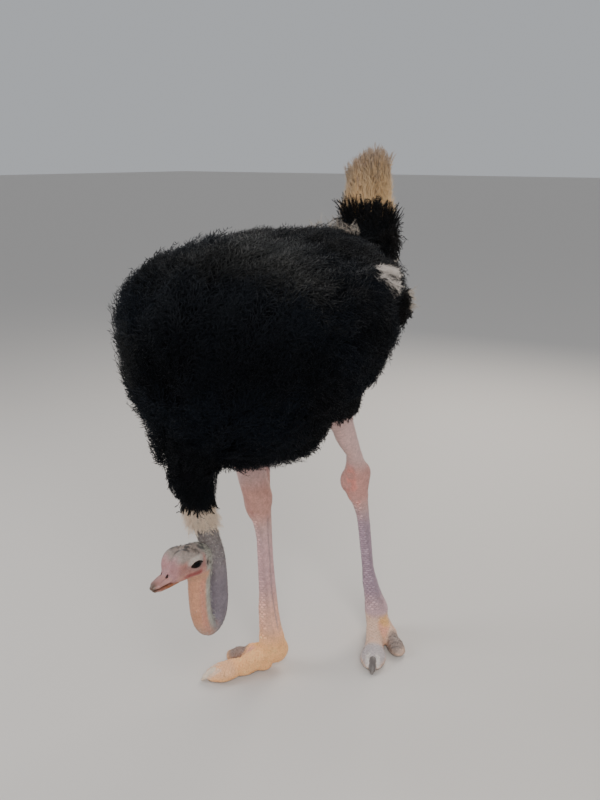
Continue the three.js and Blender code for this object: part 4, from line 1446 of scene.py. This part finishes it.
# Bare places, where the ways part, are filled by plumes that start short of them.
THIN = 0.0155
for _ in range(2):
    laid = tree_of_points(((shafts[:, 1:3] + shafts[:, 2:4]) / 2).reshape(-1, 3))
    edge = body_points + outward(body_points) * 0.024
    bare = body_points[np.array([laid.find(place)[2] > THIN for place in edge.tolist()])]
    bare = bare[rooted(bare)]
    if len(bare) == 0:
        break
    back = chance.normal(0, 0.010, bare.shape)
    back = back - lie_of_coat(bare) * chance.uniform(0.01, 0.05, (len(bare), 1))
    more_roots = bare + back
    more_roots -= outward(more_roots) * (read(reach, more_roots) + plume_depth(more_roots))[:, None]
    more_shafts, more_barbs = shafts_from(more_roots)
    roots, shafts = np.vstack([roots, more_roots]), np.vstack([shafts, more_shafts])
    barb_length = np.append(barb_length, more_barbs)
flat = unwrapped(roots)

# Black is never even: some plumes are a little browner, some bluer, and the back's have lost most of their
# black. The brown-grey is partly wear and partly painted sheen, strongest in patches on the back's top, and
# the blue cast of all of it is painted sky shade.
wear_and_sheen = ease(wander(roots, 0.34, 9)[:, 0] + 0.35 * wander(roots, 0.09, 10)[:, 0], -0.15, 0.70)
wear_and_sheen = np.clip(wear_and_sheen + chance.normal(0, 0.12, len(roots)), 0, 1)[:, None]
# Paler tips towards the top of the back, low down and in patches: partly weathering, partly painted sheen.
weathering_and_sheen = 0.08 + 0.14 * ease(roots[:, 2], 1.12, 1.30) + 0.16 * ease(roots[:, 2], 0.92, 0.76)
for place, size, share in (
    ((0.150, -0.310, 1.340), 0.130, 1.9),
    ((0.060, -0.470, 1.330), 0.075, 0.8),
    ((-0.130, -0.530, 1.050), 0.110, 1.1),
    ((-0.180, -0.150, 1.330), 0.150, 1.6),
    ((0.030, -0.570, 1.190), 0.070, 0.6),
    ((0.060, 0.120, 1.380), 0.110, 0.5),
):
    far = np.linalg.norm(roots - spot(place), axis=1) / size + 0.35 * wander(roots, 0.06, 13)[:, 0]
    weathering_and_sheen += share * ease(far, 1.20, 0.55)
weathering_and_sheen = weathering_and_sheen[:, None]
wear_and_sheen += (1 - wear_and_sheen) * 0.45 * np.minimum(weathering_and_sheen, 1)
sooty = (0.45 + 0.95 * ease(wander(roots, 0.20, 14)[:, 1], -0.5, 0.6))[:, None]
# The blue cast of both tints is painted sky shade.
root_tint = np.array((0.0012, 0.0016, 0.0028)) * sooty + wear_and_sheen * np.array((0.0016, 0.0013, 0.0008))
# The brown-grey added to the tips is partly wear and partly painted sheen.
tip_tint = np.array((0.0024, 0.0048, 0.0088)) * sooty + wear_and_sheen * weathering_and_sheen * np.array((0.0480, 0.0470, 0.0430))

STRIPS = 8
around = np.argsort(np.arctan2(roots[:, 0], roots[:, 2] - BODY_AXIS_HEIGHT), kind="stable")
for strip, members in enumerate(np.array_split(around, STRIPS)):
    plumes = plume_mesh(
        f"black_plumes_{strip + 1}",
        shafts[members],
        outward(shafts[members, 1]),
        barb_length[members],
        (root_tint[members], tip_tint[members]),
        flat[members],
        black_plume,
        tuck=tucked,
    )
    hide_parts(*PLUMED)

# ---- White plumes -------------------------------------------------------------------------------------
# The cock's finery: soft cream plumes in a drooping fan for a tail, white ones at the wings' ends that show
# between the black, a ring of cream fluff where the bare neck starts, and thin down on the neck and crown.
white_plume = tinted("white_plume", 0.7, Specular_IOR_Level=0.3, Sheen_Weight=0.1, Sheen_Roughness=0.5,
                     Subsurface_Weight=0.05, Subsurface_Radius=(0.01, 0.008, 0.006), Subsurface_Scale=1.0)


def along_route(places, share):
    """Points of a route at each share of its length."""
    line = path(places, 60)
    return np.stack([np.interp(share, np.linspace(0, 1, 60), line[:, a]) for a in range(3)], -1)


def shades(count, first, second):
    """A colour between two for each plume, and a little lighter or darker."""
    between = chance.random((count, 1))
    return (np.array(first) + (np.array(second) - first) * between) * chance.uniform(0.90, 1.08, (count, 1))


def plume_group(name, shafts, out, barbs_between, low, tip, roots, material, **looks):
    """Plumes whose barbs and shades differ. `low` is the roots' two shades, or one grey for all."""
    count = len(shafts)
    barb_length = chance.uniform(*barbs_between, count)
    low_tints = shades(count, *low) if np.ndim(low) else np.full((count, 3), low)
    tip_tints = shades(count, *tip)
    tints = (low_tints, tip_tints)
    return plume_mesh(name, shafts, out, barb_length, tints, unwrapped(roots), material, **looks)


TAIL_ROUTE = ((0, 0.395, 1.345), (-0.005, 0.419, 1.450), (-0.013, 0.440, 1.580))
TAIL_EDGE = (
    (-0.066, 1.560),
    (-0.032, 1.588),
    (0.0, 1.612),
    (0.045, 1.617),
    (0.056, 1.585),
    (0.072, 1.470),
)
across_fan = LEAN_WAY
count = 240
angle, ring = chance.uniform(0, 2 * math.pi, count), chance.random(count) ** 0.5
a, b = ring * np.cos(angle), ring * np.sin(angle)
stations = []
FAN = ((0.0, 0.060, 0.042), (0.35, 0.088, 0.056), (0.72, 0.076, 0.056), (1.0, 0.064, 0.054))
for share, wide, deep in FAN:
    place = along_route(spot(*TAIL_ROUTE), np.full(count, share))
    stations.append(place + np.stack([a * wide, b * deep, np.zeros(count)], 1))
shafts = np.stack(stations, 1)
offset = (shafts[:, 3] - along_route(spot(*TAIL_ROUTE), np.array([1.0]))) @ across_fan
tip_height = np.interp(offset, *zip(*TAIL_EDGE))
tip_height -= chance.random(count) ** 2.5 * 0.08
stretch_up = (tip_height - shafts[:, 0, 2]) / (shafts[:, 3, 2] - shafts[:, 0, 2])
foot = shafts[:, :1].copy()
spread_by = (0.4 + 0.6 * stretch_up)[:, None, None]
shafts[:, :, 2] = foot[:, :, 2] + (shafts[:, :, 2] - foot[:, :, 2]) * stretch_up[:, None]
shafts[:, :, :2] = foot[:, :, :2] + (shafts[:, :, :2] - foot[:, :, :2]) * spread_by
out = unit(np.stack([a, b + 0.2, np.full(count, 0.15)], 1))
droop = chance.random((count, 1)) ** 2
shafts[:, 3] += (out * (1, 1, 0) * 0.8 + (0, 0, -0.6)) * droop * 0.030 + chance.normal(0, 0.006, (count, 3))
tail_low = shades(count, (0.88, 0.56, 0.25), (0.98, 0.72, 0.42))
tail_top = shades(count, (0.18, 0.118, 0.090), (0.33, 0.225, 0.165))
tail = plume_mesh(
    "tail_plumes", shafts, out, chance.uniform(0.034, 0.054, count), (tail_low, tail_top),
    unwrapped(shafts[:, 0]), white_plume, barbs=30, spread=(0.16, 0.44), width=0.0019, curl=0.50,
    shaft_width=0.0020, lengthways=0.85,
)
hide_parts("tail")

WING_PLUME_ROUTE = (
    (0.290, -0.010, 1.308),
    (0.303, 0.038, 1.286),
    (0.284, 0.096, 1.264),
    (0.200, 0.225, 1.243),
    (0.140, 0.325, 1.258),
)
for side_name, out_of in SIDES:
    route = spot(*[(out_of * x, y, z) for x, y, z in WING_PLUME_ROUTE])
    count = 120
    start = chance.random(count) ** 1.6 * 0.66
    run = chance.uniform(0.20, 0.32, count)
    high, thick = chance.uniform(-1, 1, count), chance.uniform(-1, 1, count)
    stations = []
    for step in range(4):
        share = start + run * step / 3
        place = along_route(route, np.clip(share, 0, 1))
        tall = np.interp(share, (0, 0.3, 1), (0.016, 0.032, 0.044))
        place = place + np.stack([(0.006 + thick * 0.008) * out_of, thick * 0.008, high * tall], 1)
        stations.append(place + chance.normal(0, 0.003 * step, (count, 3)))
    shafts = np.stack(stations, 1)
    out = unit(np.tile((out_of * 0.9, 0.5, 0.1), (count, 1)) + chance.normal(0, 0.15, (count, 3)))
    low_tints = shades(count, (0.66, 0.59, 0.53), (0.80, 0.74, 0.69))
    tip_tints = shades(count, (0.60, 0.52, 0.45), (0.78, 0.72, 0.66))
    barb_length = chance.uniform(0.016, 0.028, count)
    plumes = plume_mesh(
        f"wing_plumes_{side_name}_white", shafts, out, barb_length, (low_tints, tip_tints),
        unwrapped(shafts[:, 0]), white_plume, barbs=16, spread=(0.3, 0.9), width=0.0015, curl=0.7,
        shaft_width=0.0014,
    )
    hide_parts(f"wing_plumes_{side_name}")


# Black coverts from the tail's base hang over the white plumes and hide all but a patch, and more of them
# round out each wing's end below it.
def black_tuft(name, node_name, middle, spread, count, lean, sizes):
    around = unit(chance.normal(size=(count, 3))) * spread * chance.uniform(0.5, 1.0, (count, 1))
    roots = tucked(spot(middle) + around, 0.004)
    out = unit(outward(roots) + unit(around) * 0.5)
    size = chance.uniform(*sizes, (count, 1))
    way = unit(chance.normal(0, 0.35, (count, 3)) + lean + out * 0.35)
    line = [roots]
    for part in (0.4, 0.3, 0.3):
        line.append(tucked(line[-1] + way * size * part, 0.012))
        way = unit(way + (0, 0, -0.35) + chance.normal(0, 0.20, (count, 3)))
    tuft = plume_group(
        name, np.stack(line, 1), out, (0.014, 0.024), 0.0026,
        ((0.0035, 0.0038, 0.0048), (0.016, 0.013, 0.010)), roots, black_plume, tuck=tucked, proud=0.014,
    )
    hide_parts(node_name)


for side_name, out_of in SIDES:
    black_tuft(
        f"tail_coverts_{side_name}", "tail_coverts", (out_of * 0.078, 0.380, 1.335), (0.046, 0.050, 0.076),
        260, (out_of * 0.20, 0.10, -0.70), (0.034, 0.056),
    )
    black_tuft(
        f"wing_ends_{side_name}", f"wing_{side_name}", (out_of * 0.280, 0.135, 1.198), (0.020, 0.045, 0.032),
        170, (out_of * 0.10, 0.60, -0.30), (0.040, 0.062),
    )

# A crown of spiky black coverts stands round the foot of the tail.
count = 420
angle = chance.uniform(0, 2 * math.pi, count)
ring_way = np.stack([np.cos(angle), np.sin(angle), np.zeros(count)], 1)
roots = spot((0.008, 0.404, 1.424))[0] + ring_way * (0.084, 0.066, 0) * chance.uniform(0.84, 1.06, (count, 1))
roots[:, 2] += chance.uniform(-0.058, 0.010, count) - 0.026 * ease(ring_way @ across_fan, 0.1, 0.9)
rise = unit(ring_way * chance.uniform(0.0, 0.35, (count, 1)) + (0, 0, 1) + chance.normal(0, 0.22, (count, 3)))
size = chance.uniform(0.032, 0.060, (count, 1))
stations = [roots, roots + rise * size * 0.35, roots + rise * size * 0.7]
stations.append(stations[2] + unit(rise + ring_way * 0.3 + chance.normal(0, 0.3, (count, 3))) * size * 0.3)
crown = plume_group(
    "tail_covert_crown", np.stack(stations, 1), ring_way, (0.011, 0.019), 0.0030,
    ((0.004, 0.004, 0.005), (0.014, 0.012, 0.010)), roots, black_plume, spread=(0.35, 0.8), curl=0.4,
)
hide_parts("tail_coverts")


# Loose pale tips that come through the black in the hollow before the tail and at the wings' ends.
def wisps_at(name, middle, spread, count, lean):
    roots = spot(middle) + chance.uniform(-1, 1, (count, 3)) * spread
    roots = roots - outward(roots) * (read(reach, roots) + 0.008)[:, None]
    way = unit(lie_of_coat(roots) * 0.4 + outward(roots) * 0.9 + lean + chance.normal(0, 0.35, (count, 3)))
    bend = unit(np.array(lean) + chance.normal(0, 0.9, (count, 3)))
    size = chance.uniform(0.030, 0.058, (count, 1))
    stations = [roots, roots + way * size * 0.4]
    stations.append(stations[1] + unit(way + bend * 0.7) * size * 0.3)
    stations.append(stations[2] + unit(way * 0.3 + bend) * size * 0.3)
    wisps = plume_group(
        name, np.stack(stations, 1), outward(roots), (0.010, 0.018), ((0.36, 0.28, 0.21), (0.56, 0.47, 0.38)),
        ((0.44, 0.36, 0.28), (0.66, 0.60, 0.53)), roots, white_plume, barbs=9, spread=(0.4, 1.1),
        width=0.0010, curl=1.0, shaft_width=0.0010,
    )


wisps_at("hollow_wisps", (-0.010, 0.225, 1.375), (0.080, 0.050, 0.0), 36, (-0.3, 0.0, 0.3))
for side_name, out_of in SIDES:
    flank = (out_of * 0.278, 0.178, 1.205)
    wisps_at(f"flank_wisps_{side_name}", flank, (0.008, 0.016, 0.026), 40, (out_of * 0.5, 0.6, -0.2))


def round_neck(low, high, count):
    """Roots scattered over the bare neck between two heights of its first limb, with their outward ways."""
    line = path(NECK_ROUTE, 200)
    knots = np.flatnonzero((line[:, 2] > low) & (line[:, 2] < high) & (np.arange(200) < 110))
    places, ways = [], []
    for knot in chance.choice(knots, count):
        angle = chance.uniform(0, 2 * math.pi)
        aim = np.array((math.cos(angle), math.sin(angle), 0))
        place = line[knot] + (0, 0, chance.uniform(-0.002, 0.002))
        hit, normal, _, _ = on_surface(place, aim)
        if hit is not None:
            places.append(hit)
            ways.append(normal)
    return np.array(places), np.array(ways)


def hanging(start, down, out, rises, stray, size):
    """Shafts that leave the skin and fall back on it, in three stretches."""
    stations = [start]
    for rise in rises:
        way = unit(down + out * rise + chance.normal(0, stray, down.shape))
        stations.append(stations[-1] + way * size / 3)
    return np.stack(stations, 1)


collar_top, collar_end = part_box("neck_collar")[1].z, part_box("neck_collar")[0].z
roots, out = round_neck(collar_end + 0.045, collar_top - 0.002, 620)
count = len(roots)
down = np.tile((0.10, 0.03, -1.0), (count, 1)) + chance.normal(0, 0.38, (count, 3))
down = unit(laid_flat(down, out))
size = chance.uniform(0.013, 0.034, (count, 1)) + 0.012 * (chance.random((count, 1)) < 0.15)
shafts = hanging(roots - out * 0.002, down, out, (0.85, 0.55, 0.15), 0.10, size)
collar = plume_group(
    "collar_fluff", shafts, out, (0.010, 0.017), ((0.68, 0.49, 0.36), (0.98, 0.78, 0.61)),
    ((0.84, 0.65, 0.49), (0.99, 0.86, 0.70)), roots, white_plume, barbs=5, spread=(0.25, 0.7),
    width=0.0010, curl=0.6, shaft_width=0.0010,
)
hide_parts("neck_collar")


# The last black plumes of the neck's base end in spikes over the fluff.
roots, out = round_neck(collar_top - 0.002, collar_top + 0.016, 90)
count = len(roots)
down = unit(np.tile((0, 0, -1.0), (count, 1)) + chance.normal(0, 0.16, (count, 3)) + out * 0.12)
size = chance.uniform(0.016, 0.036, (count, 1))
stations = [roots + out * off + down * size * run for off, run in ((0.004, 0), (0.007, 0.4), (0.008, 0.75))]
stations.append(roots + out * 0.009 + unit(down + chance.normal(0, 0.10, (count, 3))) * size)
spikes = plume_group(
    "collar_spikes", np.stack(stations, 1), out, (0.007, 0.012), 0.0026,
    ((0.004, 0.004, 0.005), (0.010, 0.009, 0.008)), roots, black_plume, barbs=6, spread=(0.15, 0.45),
    curl=0.2,
)
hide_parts("neck_collar")


def hairs(name, roots, out, lie, length, width, colours, material):
    """Single bristles or hairs, bent once over the skin."""
    count = len(roots)
    length = np.asarray(length).reshape(-1, 1)
    middle = roots + unit(lie + out * 0.7) * length * 0.45
    tip = middle + unit(lie + out * 0.10 + chance.normal(0, 0.2, (count, 3))) * length * 0.55
    points, faces = spindles(roots - out * 0.0008, middle, tip, np.full(count, width), out)
    triangles = (faces[None] + 5 * np.arange(count)[:, None, None]).reshape(-1, 3)
    patch = np.array([(0, -0.5), (-0.4, 0), (0, 0.1), (0.4, 0), (0, 0.5)]) * PATCH
    charts = (unwrapped(roots)[:, None] + patch[None]).reshape(-1, 2)
    made = joined(name, points.reshape(-1, 3), triangles, np.repeat(colours, 5, 0), charts, material)


# Down on the neck, thickest in a pale streak up its nape, and dark bristles on the crown and round the ear.
neck_points = np.flatnonzero(front & (moved_points[:, 2] < 0.72))
picked = chance.choice(neck_points, 5200)
at = (moved_points[picked] - EYES) @ HEAD_TURN
_, share = to_line(moved_points[picked], neck_line)
facing = facing_on_neck(moved_points[picked], share)
on_face = ease(at[:, 1], 0.050, 0.036) * ease(at[:, 2], -0.072, -0.050)
nape = ease(facing, -0.2, -0.8) * ease(share, 0.55, 0.66) * (1 - on_face)
under_collar = ease(share, 0.42, 0.26)
wanted = np.where(on_face > 0.3, 0, 0.10 + 0.85 * nape + 0.45 * under_collar)
picked = picked[chance.random(len(picked)) < wanted]
roots, out = moved_points[picked], each_corner(skin, "normal")[picked]
_, share = to_line(roots, neck_line)
facing = facing_on_neck(roots, share)
down_length = chance.uniform(0.005, 0.010, len(roots))
down_length = down_length * (1 + 0.8 * ease(facing, -0.3, -0.9) * ease(share, 0.55, 0.7))
knot = (share * (NECK_KNOTS - 2)).astype(int)
lie = unit(neck_line[knot] - neck_line[knot + 1])
lie = unit(np.where((share > 0.5)[:, None], lie, -lie) + chance.normal(0, 0.35, roots.shape))
hairs("neck_down", roots, out, lie, down_length, 0.0007,
      shades(len(roots), (0.42, 0.40, 0.34), (0.62, 0.58, 0.52)), white_plume)

dark_bristle = tinted("dark_bristle", 0.55, Specular_IOR_Level=0.35)
picked = chance.choice(np.flatnonzero(front), 26000)
at = (moved_points[picked] - EYES) @ HEAD_TURN
on_crown = ease(at[:, 2], 0.020, 0.030) * ease(at[:, 1], -0.034, -0.010)
near_ear = ease(np.linalg.norm((np.abs(at) - np.abs(EAR)) / (0.02, 0.012, 0.014), axis=1), 1.5, 1.0)
near_ear = near_ear * (at[:, 1] > 0)
behind_crown = ease(at[:, 1], 0.020, 0.034) * ease(at[:, 2], -0.030, 0.0)
patchy = ease(blotches(moved_points[picked], 0.012), -0.15, 0.35)
wanted = 0.34 * on_crown * patchy + 0.22 * near_ear + 0.13 * behind_crown
picked = picked[chance.random(len(picked)) < wanted]
roots, out = moved_points[picked], each_corner(skin, "normal")[picked]
lie = np.tile(HEAD_TURN[:, 1], (len(roots), 1)) + chance.normal(0, 0.25, roots.shape)
lie = unit(laid_flat(lie, out))
hairs("crown_bristles", roots, out, lie, chance.uniform(0.0045, 0.0080, len(roots)), 0.0006,
      shades(len(roots), (0.035, 0.032, 0.030), (0.14, 0.12, 0.10)), dark_bristle)

# Lashes on the upper lid's edge.
roots, out, lie = [], [], []
lid_half = np.array(EYE_HALF) + LID
for out_of in (1, -1):
    turn = eye_turn(out_of)
    for share in np.linspace(-0.86, 0.90, 26):
        along = share * LID_LENGTH
        up = math.sqrt(LID_ROUND**2 - along**2) - (LID_ROUND - LID_HEIGHT) - LID_DROOP + 0.0006
        y = along * math.cos(LID_SLANT) - up * math.sin(LID_SLANT)
        z = along * math.sin(LID_SLANT) + up * math.cos(LID_SLANT)
        x = lid_half[0] * math.sqrt(max(1 - (y / lid_half[1]) ** 2 - (z / lid_half[2]) ** 2, 0))
        roots.append(turn @ np.array((out_of * x, y, z)) + eye_middle(out_of))
        out.append(turn @ unit(np.array((out_of, 0, 0.15))))
        lie.append(turn @ unit(np.array((out_of * 0.55, 0.45 * share + 0.10, -0.62))))
roots, out, lie = np.array(roots), np.array(out), np.array(lie)
hairs("lashes", roots, out, lie, chance.uniform(0.0075, 0.0105, len(roots)), 0.0007,
      np.tile((0.012, 0.010, 0.009), (len(roots), 1)), dark_bristle)

# Where the thighs stand clear of the coat, its last plumes hang over their upper ends.
clear = read(reach, moved_points)
tall = moved_points[:, 2]
BONE_KNOTS = 60
FRINGES = (("right", 0.10, 230, (0.036, 0.076)), ("left", 0.30, 170, (0.028, 0.050)))
for side_name, lean_back, count, sizes in FRINGES:
    knee, hock = LEGS[side_name]["knee"], LEGS[side_name]["hock"]
    bone = path([knee, (knee + hock) / 2, hock], BONE_KNOTS)
    gap, share = to_line(moved_points, bone)
    if side_name == "right":
        outside_bone = (moved_points - bone[(share * (BONE_KNOTS - 1)).astype(int)]) @ (-1.0, 0.2, 0.0)
        bulging = (clear > -0.010) & (clear < 0.012) | (clear > 0) & (tall > 0.83)
        bulging &= (tall > 0.66) & (outside_bone > 0.004)
    else:
        bulging = (clear > -0.010) & (tall > 0.887)
    picked = chance.choice(np.flatnonzero((gap < 0.12) & bulging), count)
    roots, out = moved_points[picked], each_corner(skin, "normal")[picked]
    down = np.tile((0, lean_back, -1.0), (count, 1)) + chance.normal(0, 0.28, (count, 3))
    down = unit(laid_flat(down, out))
    size = chance.uniform(*sizes, (count, 1))
    shafts = hanging(roots - out * 0.004 - down * 0.018, down, out, (0.50, 0.20, 0.0), 0.12, size)
    # The roots' blue cast is painted sky shade, as on the body's plumes.
    fringe = plume_group(
        f"thigh_fringe_{side_name}", shafts, out, (0.018, 0.030), 0.0020,
        ((0.0026, 0.0040, 0.0070), (0.010, 0.009, 0.009)), roots, black_plume, spread=(0.35, 0.85), curl=0.6,
    )
